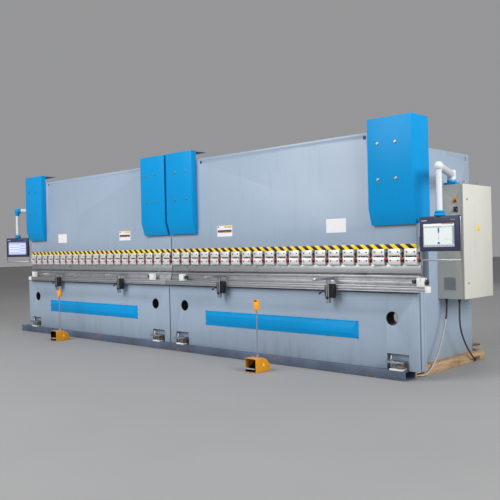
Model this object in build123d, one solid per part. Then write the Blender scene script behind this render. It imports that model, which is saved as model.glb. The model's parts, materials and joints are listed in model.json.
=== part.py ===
from build123d import *
from math import cos, pi, radians, sin, tan
import os

# Tandem press brake: two machines side by side on one shipping skid.
# Millimetres, +X to the operator's right, +Y to the rear, +Z up.
# X = 0 is midway between the machines, Y = 0 the ram's front face, Z = 0 the floor.

# ---- driving dimensions: the pair ----
machine_length = 4000.0
machine_gap = 20.0
machine_centre = (machine_length + machine_gap) / 2
skid_height = 100.0
fit_gap = 0.3
running_gap = 0.05

# ---- bed ----
bed_height = 825.0
bed_top = skid_height + bed_height
bed_front = -55.0
bed_front_thickness = 25.0
core_front = 0.0
core_thickness = 60.0
rear_plate_thickness = 30.0
rear_plate_gap = 5.0
bed_rear = core_front + core_thickness + rear_plate_gap + rear_plate_thickness
bed_hole_diameter = 150.0
bed_hole_height = 646.0
foot_window_width = 270.0
foot_window_height = 170.0
trim_length = machine_length - 1500
trim_height = 196.0
trim_depth = 28.0
trim_bevel = 40.0
trim_middle_height = 497.0

# ---- tooling ----
tool_line = 30.0
table_width = 110.0
table_height = 116.0
die_height = 62.0
die_width = 80.0
die_neck_width = 56.0
die_opening = 50.0
tip_gap = 8.0
punch_height = 104.0
clamp_pitch = 200.0
clamp_count = int(machine_length // clamp_pitch)
clamp_height = 174.0
clamp_plate_width = 149.0
clamp_base_width = 194.0
clamp_plate_thickness = 36.0
tang_thickness = 24.0
table_top = bed_top + table_height
die_top = table_top + die_height
punch_tip = die_top + tip_gap
clamp_bottom = punch_tip + punch_height
ram_bottom = clamp_bottom + clamp_height

# ---- ram ----
ram_thickness = 60.0
ram_inset = 35.0
ram_top = ram_bottom + 1291
ram_shoulder = ram_bottom + 301
ram_notch_width = 510.0
gib_width = 120.0
gib_thickness = 30.0
lifting_hole_diameter = 45.0
lifting_hole_height = ram_top - 54

# ---- side frames ----
frame_thickness = 80.0
frame_offset = machine_length / 2 - 272
frame_inner = frame_offset - frame_thickness / 2
frame_outer = frame_offset + frame_thickness / 2
frame_rear = 1635.0
frame_top = ram_top - 155
upper_jaw_front = 180.0
upper_jaw_bottom = ram_bottom + 131
throat_rear = 600.0
throat_radius = 60.0
bed_hole_offset = frame_offset - 44
foot_offset = frame_offset + 17
lifting_hole_offset = frame_offset - 383

# ---- hydraulics ----
cylinder_diameter = 220.0
cylinder_bottom = ram_shoulder + 210
cylinder_length = 660.0
rod_diameter = 120.0
piston_diameter = 170.0
piston_height = 60.0
tank_length = 1600.0
tank_depth = 520.0
tank_height = 420.0
tank_rear = 700.0
tank_bottom = frame_top - 445
tank_top = tank_bottom + tank_height
tank_wall = 6.0
filler_place = 620.0
filler_depth = 120.0
motor_diameter = 210.0
motor_length = 380.0
motor_y = 440.0
valve_height = 120.0
pipe_diameter = 30.0
pipe_y = 300.0
pipe_bend = 24.0

# ---- cylinder covers ----
sheet = 3.0
cover_width = 549.0
cover_outer_edge = machine_gap / 2 + machine_length - ram_inset + 22
cover_inner_edge = cover_outer_edge - cover_width
cover_gap_edge = machine_gap / 2 + 12
cover_front = -92.0
cover_top = ram_top + 120
cover_chin_top = ram_bottom + 438
cover_chin_bottom = ram_bottom + 258
cover_chin_depth = 55.0
cover_rear = 254.0
cover_rear_bottom = ram_bottom + 329

# ---- front rail and sheet supports ----
rail_front = -120.0
rail_depth = 60.0
rail_back = rail_front + rail_depth
rail_bottom = bed_top + 10
rail_height = 63.0
rail_top = rail_bottom + rail_height
rail_overhangs = {-1: -104.0, 1: 151.0}
left_knob_room = 120.0
slot_width = 10.0
slot_offset = 16.0
support_places = (-machine_centre - 883, -machine_centre + 913, machine_centre - 877, machine_centre + 906)
post_width = 45.0
post_depth = 36.0
post_bottom = bed_top - 137
arm_top = bed_top + 157
arm_width = 40.0
arm_thickness = 32.0
arm_length = 365.0
carriage_bottom = bed_top - 77
carriage_height = 158.0
end_block_width = 86.0
end_block_height = 90.0
inner_block_place = 335.0

# ---- electrical cabinet ----
cabinet_depth = 329.0
cabinet_width = 726.0
cabinet_front = frame_rear - 835
cabinet_bottom = bed_top - 121
cabinet_height = 1297.0
cabinet_left = machine_centre + frame_outer
cabinet_right = cabinet_left + cabinet_depth
cabinet_top = cabinet_bottom + cabinet_height
cabinet_rear = cabinet_front + cabinet_width
door_thickness = 22.0
door_gap = 1.0
hinge_radius = 8.0
button_diameter = 28.0
button_stem = button_diameter - 6
button_height = cabinet_top - 188
selector_height = cabinet_top - 289
button_place = cabinet_right - 91
gland_length = 24.0
eye_ring = 36.0
eye_wire = 10.0

# ---- control panels ----
panel_width = 455.0
panel_height = 356.0
panel_depth = 60.0
panel_drop = 32.0
bezel_side = 45.0
bezel_top = 75.0
right_arm_reach = 954.0
left_arm_reach = 800.0
arm_height = cabinet_top + 121
panel_middle = arm_height - 686
arm_tube = 80.0
hub_diameter = 100.0
hub_joint = arm_height - arm_tube / 2 - 20
drop_tube = 60.0
swivel_diameter = 118.0
right_pivot = (cabinet_left + 169, cabinet_front + 52)
left_pivot = (-cabinet_left - 122, 560.0)
right_arm_angle = -70.2
left_arm_angle = -132.0
right_panel_angle = -6.0
left_panel_angle = 30.0

# ---- foot pedals ----
pedal_places = {"left": (-machine_centre - 300, -455.0), "right": (machine_centre + 195, -585.0)}
pedal_width = 170.0
pedal_length = 250.0
pedal_height = 160.0
pedal_wall = 5.0
treadle_tube = 22.0
pole_diameter = 16.0
station_bottom = 705.0
station_height = 128.0
station_diameter = 66.0
station_guard = 26.0
estop_stem = 20.0

# ---- back gauge ----
gauge_guide_length = 820.0
gauge_guide_offset = frame_inner - 488
gauge_guide_height = 62.0
gauge_guide_width = 90.0
gauge_rest = 320.0
saddle_length = 150.0
saddle_top = bed_top + 26
beam_half = gauge_guide_offset + 350

# ---- cables, laid by hand ----
pedal_cable_diameter = 20.0
supply_cable_diameter = 18.0
gland_end = cabinet_bottom - gland_length
pedal_cable_points = [(cabinet_left + x, y, z) for x, y, z in (
    (94, 820, gland_end), (95, 818, 640), (102, 752, 500), (112, 664, 372), (119, 574, 246),
    (123, 470, 132), (125, 352, 48), (118, 262, 14), (72, 190, 12), (-16, 150, 13), (-138, 142, 15))]
supply_cable_points = [(cabinet_left + x, y, z) for x, y, z in (
    (207, 908, gland_end), (206, 906, 650), (196, 924, 512), (182, 1000, 380), (167, 1112, 258),
    (152, 1240, 150), (136, 1385, 52), (110, 1500, 12), (64, 1560, 11), (-16, 1592, 12),
    (-118, 1588, 10), (-238, 1556, 11), (-368, 1490, 10), (-498, 1410, 12), (-638, 1362, 18),
    (-778, 1350, 29))]
plug_diameter = 56.0
plug_length = 150.0
plug_neck_diameter = 34.0
plug_neck_length = 40.0
cable_notch_width = 160.0
cable_notch_height = 46.0
cable_notch_places = (205.0, 1552.0)

# ---- skid ----
skid_left = -(machine_gap / 2 + machine_length + 190)
skid_right = cabinet_left + 97
skid_front, skid_rear = -115.0, frame_rear + 125
beam_depth = 210.0
beam_wall = 10.0
rear_beam_depth = 100.0
rear_beam_wall = 8.0
timber_width = 200.0
middle_timber_width = 120.0

sides = {"left": -1, "right": 1}


def block(x0, x1, y0, y1, z0, z1):
    """A box between two corners."""
    low = Vector(min(x0, x1), min(y0, y1), min(z0, z1))
    high = Vector(max(x0, x1), max(y0, y1), max(z0, z1))
    size = high - low
    return Pos(*((low + high) / 2)) * Box(size.X, size.Y, size.Z)


def bar(diameter, start, end):
    """A round bar between two points."""
    start, end = Vector(*start), Vector(*end)
    base = Plane(origin=start, z_dir=end - start)
    return extrude(base * Circle(diameter / 2), (end - start).length)


def along_x(points, x0, x1):
    """An outline in Y and Z, drawn out from x0 to x1."""
    return extrude(Plane.YZ.offset(min(x0, x1)) * make_face(Polyline(*points, close=True)), abs(x1 - x0))


def hollow_bar(x0, x1, y0, y1, z0, z1, wall):
    """A rectangular tube along X, open at both ends."""
    outer = block(x0, x1, y0, y1, z0, z1)
    return outer - block(x0 - 1, x1 + 1, y0 + wall, y1 - wall, z0 + wall, z1 - wall)


def save(node, *pieces):
    """Writes the pieces as one node."""
    solids = [solid for piece in pieces for solid in piece.solids()]
    export_step(Compound(children=solids), os.path.join("parts", node + ".step"))


def machine_x(side, offset):
    """X of a place on one machine, offset outward from its middle."""
    return side * (machine_centre + offset)


def both(make):
    """One piece for each machine."""
    return [make(side) for side in sides.values()]


# ---- skid pieces ----
def make_skid():
    front = hollow_bar(skid_left, skid_right, skid_front, skid_front + beam_depth, 0, skid_height, beam_wall)
    rear = hollow_bar(-skid_right + timber_width, skid_right - timber_width,
                      skid_rear - rear_beam_depth, skid_rear, 0, skid_height, rear_beam_wall)
    save("skid_beams", front, rear)
    timber_front = skid_front + beam_depth
    timbers = [block(skid_right - timber_width, skid_right, timber_front, skid_rear, 0, skid_height),
               block(-skid_right, -skid_right + timber_width, timber_front, skid_rear, 0, skid_height)]
    for place in cable_notch_places:
        timbers[0] -= block(skid_right - timber_width - 1, skid_right + 1, place - cable_notch_width / 2,
                            place + cable_notch_width / 2, -1, cable_notch_height)
    inner = [machine_centre - frame_offset, -(machine_centre - frame_offset), 0,
             machine_centre, -machine_centre]
    for middle in inner:
        half = (middle_timber_width if middle == 0 else timber_width) / 2
        timbers.append(block(middle - half, middle + half, timber_front,
                             skid_rear - rear_beam_depth, 0, skid_height))
    save("skid_timbers", *timbers)


# ---- frames and beds ----
def side_frame(middle):
    outline = make_face(Polyline(
        (bed_rear, skid_height), (frame_rear, skid_height), (frame_rear, frame_top),
        (upper_jaw_front, frame_top), (upper_jaw_front, upper_jaw_bottom), (throat_rear, upper_jaw_bottom),
        (throat_rear, bed_top), (bed_rear, bed_top), close=True))
    corners = outline.vertices().filter_by(lambda v: abs(v.X - throat_rear) < 1 and v.Y < frame_top - 1)
    outline = fillet(corners, throat_radius)
    plate = extrude(Plane.YZ.offset(middle - frame_thickness / 2) * outline, frame_thickness)
    rope_slot = Pos(middle, frame_rear - 72, frame_top - 58) * Rot(0, 90, 0) * extrude(
        SlotOverall(54, 26), frame_thickness, both=True)
    return plate - rope_slot


def make_frames():
    save("side_frames", *[side_frame(machine_x(side, offset)) for side in sides.values()
                          for offset in (-frame_offset, frame_offset)])
    save("cross_beams", *[beam for side in sides.values() for beam in cross_beams(side)])


def cross_beams(side):
    x0, x1 = machine_x(side, -frame_inner), machine_x(side, frame_inner)
    x0, x1 = min(x0, x1), max(x0, x1)
    tank_shelf = hollow_bar(x0, x1, tank_rear, tank_rear + 200, tank_bottom + 100, tank_bottom + 300, 12)
    rear_tie = hollow_bar(x0, x1, frame_rear - 140, frame_rear - 20, bed_top + 475, bed_top + 635, 10)
    foot_tie = hollow_bar(x0, x1, frame_rear - 160, frame_rear - 40, skid_height + 60, skid_height + 260, 10)
    return [tank_shelf, rear_tie, foot_tie]


def bed_hole_cut(side, y0, y1):
    return [bar(bed_hole_diameter, (machine_x(side, way * bed_hole_offset), y0, bed_hole_height),
                (machine_x(side, way * bed_hole_offset), y1, bed_hole_height)) for way in (-1, 1)]


def bed_front_plate(side):
    plate = block(machine_x(side, -machine_length / 2), machine_x(side, machine_length / 2),
                  bed_front, bed_front + bed_front_thickness, skid_height, bed_top - 10)
    for way in (-1, 1):
        middle = machine_x(side, way * foot_offset)
        plate -= block(middle - foot_window_width / 2, middle + foot_window_width / 2,
                       bed_front - 1, bed_front + bed_front_thickness + 1,
                       skid_height - 1, skid_height + foot_window_height)
    for hole in bed_hole_cut(side, bed_front - 1, bed_front + bed_front_thickness + 1):
        plate -= hole
    return plate


def bed_core(side):
    half = machine_length / 2
    front, back = core_front, core_front + core_thickness
    core = block(machine_x(side, -half), machine_x(side, half), front, back, skid_height, bed_top)
    rear = block(machine_x(side, -half), machine_x(side, half), back + rear_plate_gap, bed_rear,
                 skid_height, bed_top)
    spacers = []
    for share in (-0.325, -0.1125, 0.1125, 0.325):
        middle = machine_x(side, share * machine_length)
        spacers.append(block(middle - 30, middle + 30, bed_front + bed_front_thickness, front,
                             skid_height, bed_top - 60))
        spacers.append(block(middle - 30, middle + 30, back, back + rear_plate_gap,
                             skid_height, bed_top - 60))
    for hole in bed_hole_cut(side, front - 1, bed_rear + 1):
        core -= hole
        rear -= hole
    return [core, rear, *spacers]


def trim_panel(side):
    """A shallow pressed tray with bevelled edges, standing on the bed plate."""
    middle = machine_x(side, 0)
    face = Plane(origin=(middle, bed_front, trim_middle_height), x_dir=(1, 0, 0), z_dir=(0, -1, 0))
    base = face * Rectangle(trim_length, trim_height)
    rim = extrude(base, 5)
    lower = face.offset(5) * Rectangle(trim_length - 30, trim_height - 30)
    upper = face.offset(trim_depth) * Rectangle(trim_length - 2 * trim_bevel - 30,
                                                trim_height - 2 * trim_bevel - 30)
    return rim + loft([lower.face(), upper.face()])


def make_beds():
    save("bed_front_plates", *both(bed_front_plate))
    save("bed_cores", *[piece for side in sides.values() for piece in bed_core(side)])
    save("bed_trim_panels", *both(trim_panel))


# ---- tooling on the bed ----
def crowning_table(side):
    half = machine_length / 2 - 2
    low = block(machine_x(side, -half), machine_x(side, half), tool_line - table_width / 2,
                tool_line + table_width / 2, bed_top, bed_top + 0.62 * table_height)
    high = block(machine_x(side, -half), machine_x(side, half), tool_line - table_width / 2 + 8,
                 tool_line + table_width / 2 - 8, bed_top + 0.62 * table_height, table_top)
    return [low, high]


def lower_die(side):
    half, neck, opening = die_width / 2, die_neck_width / 2, die_opening / 2
    outline = [(-half, table_top), (half, table_top), (half, table_top + 14), (neck, table_top + 20),
               (neck, table_top + 32), (half, table_top + 38), (half, die_top), (opening, die_top),
               (0, die_top - opening), (-opening, die_top), (-half, die_top), (-half, table_top + 38),
               (-neck, table_top + 32), (-neck, table_top + 20), (-half, table_top + 14)]
    end = machine_length / 2
    return along_x([(tool_line + y, z) for y, z in outline], machine_x(side, -end), machine_x(side, end))


# ---- ram and upper tooling ----
def ram_x(side, inner):
    """The ram's inner or outer end."""
    return side * (machine_gap / 2) if inner else side * (machine_gap / 2 + machine_length - ram_inset)


def ram(side):
    inner, outer = ram_x(side, True), ram_x(side, False)
    plate = block(inner, outer, 0, ram_thickness, ram_bottom, ram_top)
    for end, way in ((inner, side), (outer, -side)):
        plate -= block(end - way, end + way * ram_notch_width, -1, ram_thickness + 1,
                       ram_shoulder, ram_top + 1)
    for way in (-1, 1):
        x = machine_x(side, way * lifting_hole_offset)
        plate -= bar(lifting_hole_diameter, (x, -1, lifting_hole_height),
                     (x, ram_thickness + 1, lifting_hole_height))
    gibs = [block(machine_x(side, way * frame_offset) - gib_width / 2,
                  machine_x(side, way * frame_offset) + gib_width / 2,
                  ram_thickness, ram_thickness + gib_thickness - fit_gap, ram_bottom + 30, ram_bottom + 250)
            for way in (-1, 1)]
    rib_end = frame_inner - 188
    ribs = [block(machine_x(side, -rib_end), machine_x(side, rib_end), ram_thickness, ram_thickness + 40,
                  height, height + 60) for height in (ram_bottom + 361, ram_bottom + 671)]
    return [plate, *gibs, *ribs]


def clamp(middle):
    """One quick punch clamp: a base block under the ram and a front plate bolted over the tang."""
    tang_front, tang_back = tool_line - tang_thickness / 2, tool_line + tang_thickness / 2
    plate_front = tang_front - clamp_plate_thickness
    heel = ram_bottom - 60
    base = block(middle - clamp_base_width / 2, middle + clamp_base_width / 2, tang_back,
                 ram_thickness - 1, clamp_bottom, ram_bottom)
    plate = along_x([(plate_front, clamp_bottom), (tang_front, clamp_bottom), (tang_front, heel),
                     (tang_back, heel), (tang_back, ram_bottom), (plate_front, ram_bottom)],
                    middle - clamp_plate_width / 2, middle + clamp_plate_width / 2)
    return [base, plate]


def clamps(side):
    first = machine_x(side, 0) - (clamp_count - 1) * clamp_pitch / 2
    return [piece for i in range(clamp_count) for piece in clamp(first + i * clamp_pitch)]


def punch(side):
    tang = tang_thickness / 2
    tang_top = clamp_bottom + 84
    outline = [(-2, punch_tip), (2, punch_tip), (30, punch_tip + 46), (30, clamp_bottom - fit_gap),
               (tang, clamp_bottom - fit_gap), (tang, tang_top), (-tang, tang_top),
               (-tang, clamp_bottom - fit_gap), (-20, clamp_bottom - fit_gap), (-20, punch_tip + 18)]
    end = machine_length / 2
    return along_x([(tool_line + y, z) for y, z in outline], machine_x(side, -end), machine_x(side, end))


def piston_rod(middle):
    piston_bottom = cylinder_bottom + 130
    rod = bar(rod_diameter, (middle, ram_thickness / 2, ram_shoulder),
              (middle, ram_thickness / 2, piston_bottom))
    piston = bar(piston_diameter, (middle, ram_thickness / 2, piston_bottom),
                 (middle, ram_thickness / 2, piston_bottom + piston_height))
    foot = block(middle - 90, middle + 90, 0, ram_thickness, ram_shoulder, ram_shoulder + 25)
    return rod + piston + foot


def make_rams():
    for name, side in sides.items():
        save(name + "_ram", *ram(side))
        save(name + "_clamps", *clamps(side))
        save(name + "_punch", punch(side))
        save(name + "_piston_rods", *[piston_rod(machine_x(side, way * frame_offset)) for way in (-1, 1)])


# ---- hydraulics ----
def cylinder(middle):
    axis_y = ram_thickness / 2
    top = cylinder_bottom + cylinder_length
    body = bar(cylinder_diameter, (middle, axis_y, cylinder_bottom), (middle, axis_y, top))
    body += block(middle - 130, middle + 130, axis_y + 40, upper_jaw_front, cylinder_bottom + 100,
                  cylinder_bottom + 500)
    body -= bar(piston_diameter + 2 * running_gap, (middle, axis_y, cylinder_bottom + 60),
                (middle, axis_y, top - 60))
    body -= bar(rod_diameter + 2 * running_gap, (middle, axis_y, cylinder_bottom - 1),
                (middle, axis_y, cylinder_bottom + 61))
    guide = block(middle - 45, middle + 45, ram_thickness + gib_thickness, upper_jaw_front,
                  upper_jaw_bottom + 20, upper_jaw_bottom + 320)
    return [body, guide]


def oil_tank(side):
    middle = machine_x(side, 0)
    half, front = tank_length / 2, tank_rear - tank_depth
    outer = block(middle - half, middle + half, front, tank_rear, tank_bottom, tank_top)
    inner = block(middle - half + tank_wall, middle + half - tank_wall, front + tank_wall,
                  tank_rear - tank_wall, tank_bottom + tank_wall, tank_top - tank_wall)
    place = (middle + filler_place, front + filler_depth)
    return outer - inner - bar(60, (*place, tank_top - 20), (*place, tank_top + 1))


def pump_and_motor(side):
    middle, y = machine_x(side, 0), motor_y
    axis_z = tank_top + motor_diameter / 2 + 20
    motor = bar(motor_diameter, (middle - motor_length, y, axis_z), (middle, y, axis_z))
    motor += block(middle - motor_length + 60, middle - 60, y - 90, y + 90, tank_top, axis_z)
    pump = bar(130, (middle, y, axis_z), (middle + 170, y, axis_z))
    valves = block(middle + 230, middle + 430, pipe_y - 40, y + 90, tank_top, tank_top + valve_height)
    cap_place = (middle + filler_place, tank_rear - tank_depth + filler_depth)
    cap = bar(76, (*cap_place, tank_top), (*cap_place, tank_top + 45))
    return [motor + pump, valves, cap]


def oil_pipe(side, way):
    """A pressure pipe from the valve block over the side frame to the cylinder's cap."""
    middle = machine_x(side, 0)
    start = (middle + 330 + way * 60, pipe_y, tank_top + valve_height)
    x = middle + way * frame_offset
    height = frame_top + 130
    points = [start, (start[0], start[1], height), (x, start[1], height),
              (x, ram_thickness / 2, height), (x, ram_thickness / 2, cylinder_bottom + cylinder_length)]
    path = FilletPolyline(*points, radius=pipe_bend)
    return sweep(Plane(origin=start, z_dir=(0, 0, 1)) * Circle(pipe_diameter / 2), path=path)


def make_hydraulics():
    middles = [machine_x(side, way * frame_offset) for side in sides.values() for way in (-1, 1)]
    save("hydraulic_cylinders", *[piece for middle in middles for piece in cylinder(middle)])
    save("oil_tanks", *both(oil_tank))
    save("pump_motors", *[piece for side in sides.values() for piece in pump_and_motor(side)])
    save("oil_pipes", *[oil_pipe(side, way) for side in sides.values() for way in (-1, 1)])


# ---- cylinder covers ----
def cover(x_near, x_far, wall_reaches_back):
    """Folded sheet cover. x_near is the edge over the ram, x_far the edge past the ram's notch."""
    way = 1 if x_far > x_near else -1
    chin_back = cover_front + cover_chin_depth
    slope = cover_chin_depth / (cover_chin_top - cover_chin_bottom)
    outer = along_x([(cover_front, cover_chin_top), (cover_front, cover_top), (cover_rear, cover_top),
                     (cover_rear, cover_rear_bottom), (chin_back, cover_chin_bottom)], x_near, x_far)
    lean = sheet * (1 + slope ** 2) ** 0.5
    deep = 200.0
    inner = along_x([(cover_front + lean, cover_chin_top), (cover_front + lean, cover_top - sheet),
                     (cover_rear + 50, cover_top - sheet), (cover_rear + 50, cover_chin_bottom - deep),
                     (chin_back + lean + slope * deep, cover_chin_bottom - deep)],
                    x_near + way * sheet, x_far - way * sheet)
    shell = outer - inner
    ram_zone = block(x_near - way, x_near + way * 60, -sheet, cover_rear + 1,
                     cover_chin_bottom - deep, cover_top + 1)
    shell -= ram_zone
    if not wall_reaches_back:
        shell -= block(x_far - way * (sheet + 1), x_far + way, -sheet, cover_rear + 1,
                       cover_chin_bottom - deep, cover_top + 1)
    return shell


def make_covers():
    outer = [cover(side * cover_inner_edge, side * cover_outer_edge, True) for side in sides.values()]
    inner = [cover(side * (cover_gap_edge + cover_width), side * cover_gap_edge, False)
             for side in sides.values()]
    save("cylinder_covers", *outer, *inner)


# ---- front rail ----
def rail_end(side):
    return side * (machine_gap / 2 + machine_length + rail_overhangs[side])


def front_rail(side):
    """A slotted extrusion; slots open to the front and to the top."""
    middle_z = (rail_bottom + rail_top) / 2
    slot, lip, wide = slot_width / 2, 6, 12
    inner = side * machine_gap / 2
    outer = rail_end(side)
    rail = block(inner, outer, rail_front, rail_back, rail_bottom, rail_top)
    for height in (middle_z - slot_offset, middle_z + slot_offset):
        rail -= block(inner - side, outer + side, rail_front - 1, rail_front + lip, height - slot,
                      height + slot)
        rail -= block(inner - side, outer + side, rail_front + lip, rail_front + lip + 9,
                      height - wide, height + wide)
    bracket_end = machine_length / 2 - 200
    brackets = [block(machine_x(side, offset) - 40, machine_x(side, offset) + 40, rail_back,
                      tool_line - table_width / 2, rail_bottom + 4, rail_top - 8)
                for offset in (-bracket_end, -bracket_end / 2, 0, bracket_end / 2, bracket_end)]
    return [rail, *brackets]


def end_block(middle, way):
    """A stop block on the rail with a clamping knob; way points away from the knob."""
    half = end_block_width / 2
    body = block(middle - half, middle + half, rail_front, rail_back, rail_top, rail_top + end_block_height)
    z = rail_top + 48
    y = (rail_front + rail_back) / 2
    knob = bar(46, (middle - way * (half + 66), y, z), (middle - way * (half + 16), y, z))
    stem = bar(18, (middle - way * (half + 16), y, z), (middle - way * half, y, z))
    return [body, knob + stem]


def make_front():
    save("front_rails", *[piece for side in sides.values() for piece in front_rail(side)])
    places = [(rail_end(1) - end_block_width, 1),
              (rail_end(-1) + left_knob_room + end_block_width / 2, 1)]
    places += [(side * inner_block_place, -side) for side in sides.values()]
    save("rail_end_blocks", *[piece for place in places for piece in end_block(*place)])
    save("crowning_tables", *[piece for side in sides.values() for piece in crowning_table(side)])
    save("lower_dies", *both(lower_die))


# ---- sheet supports ----
def support_carriage(x):
    """The sliding block with its clamping handle, on the front of the rail."""
    body_left = x + post_width / 2 + fit_gap
    body_right = body_left + 70
    back = rail_front - fit_gap
    front = back - post_depth - 8
    wrap_bottom, wrap_top = carriage_bottom + 14, rail_top - 6
    ear_left = x - post_width / 2 - 12
    body = block(body_left, body_right, front, back, carriage_bottom, carriage_bottom + carriage_height)
    wrap = block(ear_left, body_left + 10, back - 7, back, wrap_bottom, wrap_top)
    ear = block(ear_left, x - post_width / 2 - fit_gap, front, back - 7, wrap_bottom, wrap_top)
    middle_y, handle_z = (front + back) / 2, carriage_bottom + 92
    handle = bar(12, (ear_left, middle_y, handle_z), (ear_left - 58, middle_y - 20, handle_z - 35))
    return body + wrap + ear + handle


def support_post(x):
    """The sliding post and the arm that carries the sheet."""
    back = rail_front - fit_gap - 7 - fit_gap
    front = back - post_depth + fit_gap
    arm_bottom, half = arm_top - arm_thickness, arm_width / 2
    post = block(x - post_width / 2, x + post_width / 2, front, back, post_bottom, arm_bottom)
    slot = block(x - 6, x + 6, front - 1, back + 1, post_bottom + 30, arm_bottom - 58)
    arm_back = tool_line - die_width / 2 - 25
    arm_front = arm_back - arm_length
    bearer = block(x - half, x + half, arm_front, arm_back, arm_bottom, arm_top)
    nose = block(x - half, x + half, arm_front - 14, arm_front, arm_bottom, arm_top - 8)
    return post - slot + bearer + nose


def make_supports():
    for i, x in enumerate(support_places, 1):
        save(f"support_{i}_carriage", support_carriage(x))
        save(f"support_{i}_post", support_post(x))


# ---- levelling feet ----
def front_foot(middle):
    """A white base plate, a riser and the strap with its levelling bolt, in the bed's foot window."""
    y = (bed_front + core_front) / 2
    base = block(middle - 75, middle + 75, skid_front + 3, core_front - 4, skid_height, skid_height + 18)
    riser = block(middle + 20, middle + 80, skid_front + 3, y, skid_height + 18, skid_height + 80)
    strap = block(middle - 105, middle + 100, skid_front - 20, y, skid_height + 80, skid_height + 100)
    bolt = bar(24, (middle - 75, y - 40, skid_height + 30), (middle - 75, y - 40, skid_height + 150))
    return [base, riser, strap + bolt]


def rear_foot(middle):
    """A lug behind the side frame, its levelling bolt and the pad under it."""
    y = frame_rear + 55
    plate = block(middle - 90, middle + 90, frame_rear, frame_rear + 100, skid_height + 60, skid_height + 84)
    bolt = bar(28, (middle, y, skid_height + 12), (middle, y, skid_height + 130))
    head = extrude(Pos(middle, y, skid_height + 112) * RegularPolygon(23, 6), 18)
    pad = block(middle - 60, middle + 60, frame_rear + 5, frame_rear + 105, skid_height, skid_height + 12)
    return [plate + bolt + head, pad]


def make_feet():
    front = [machine_x(side, way * foot_offset) for side in sides.values() for way in (-1, 1)]
    rear = [machine_x(side, way * frame_offset) for side in sides.values() for way in (-1, 1)]
    pieces = [piece for middle in front for piece in front_foot(middle)]
    pieces += [piece for middle in rear for piece in rear_foot(middle)]
    save("levelling_feet", *pieces)


# ---- electrical cabinet ----
def make_cabinet():
    door_back = cabinet_right - door_thickness
    shell_right = door_back - door_gap
    shell = block(cabinet_left, shell_right, cabinet_front, cabinet_rear, cabinet_bottom, cabinet_top)
    shell -= block(cabinet_left + sheet, shell_right + 1, cabinet_front + sheet, cabinet_rear - sheet,
                   cabinet_bottom + sheet, cabinet_top - sheet)
    for height in (button_height, selector_height):
        shell -= bar(button_stem, (button_place, cabinet_front - 1, height),
                     (button_place, cabinet_front + 10, height))
    for x, y, z in (pedal_cable_points[0], supply_cable_points[0]):
        shell -= bar(20, (x, y, cabinet_bottom - 1), (x, y, cabinet_bottom + 10))
    save("cabinet_shell", shell)

    door = block(door_back, cabinet_right, cabinet_front, cabinet_rear, cabinet_bottom, cabinet_top)
    door -= block(door_back - 1, cabinet_right - 2, cabinet_front + 2, cabinet_rear - 2,
                  cabinet_bottom + 2, cabinet_top - 2)
    lock_y = cabinet_front + 90
    locks = [bar(26, (cabinet_right, lock_y, height), (cabinet_right + 8, lock_y, height))
             for height in (cabinet_bottom + 180, cabinet_top - 168)]
    save("cabinet_door", door, *locks)
    save("start_button", button(button_height, 14))
    save("selector_switch", button(selector_height, 12)
         + block(button_place - 4, button_place + 4, cabinet_front - 24, cabinet_front - 11,
                 selector_height - 12, selector_height + 12))
    save("cabinet_electrics", *cabinet_electrics())
    save("cabinet_fittings", *cabinet_fittings())


def button(height, proud):
    """A round operator: its cap stands in front of the cabinet wall, its stem runs through it."""
    cap = bar(button_diameter - 2, (button_place, cabinet_front - proud, height),
              (button_place, cabinet_front - 7, height))
    stem = bar(button_stem - 2 * running_gap, (button_place, cabinet_front - 7.5, height),
               (button_place, cabinet_front + 12, height))
    return cap + stem


def cabinet_electrics():
    plate_x = cabinet_left + 20
    y0, y1 = cabinet_front + 40, cabinet_rear - 40
    plate = block(plate_x, plate_x + 3, y0, y1, cabinet_bottom + 60, cabinet_top - 60)
    studs = [bar(10, (cabinet_left + sheet, y, z), (plate_x, y, z))
             for y in (y0 + 20, y1 - 20) for z in (cabinet_bottom + 90, cabinet_top - 90)]
    rows = [(1046, 110, 7, 70), (756, 130, 6, 85), (486, 95, 9, 58), (216, 100, 4, 140)]
    gear = []
    for row, depth, count, width in rows:
        pitch = (y1 - y0 - 60) / count
        middle = cabinet_bottom + row
        gear += [block(plate_x + 3, plate_x + 3 + depth, y0 + 30 + i * pitch, y0 + 30 + i * pitch + width,
                       middle - 60, middle + 60) for i in range(count)]
    ducts = [block(plate_x + 3, plate_x + 63, y0 + 10, y1 - 10, cabinet_bottom + low,
                   cabinet_bottom + low + 50)
             for low in (1156, 876, 601, 331)]
    return [plate, *studs, *gear, *ducts]


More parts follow.
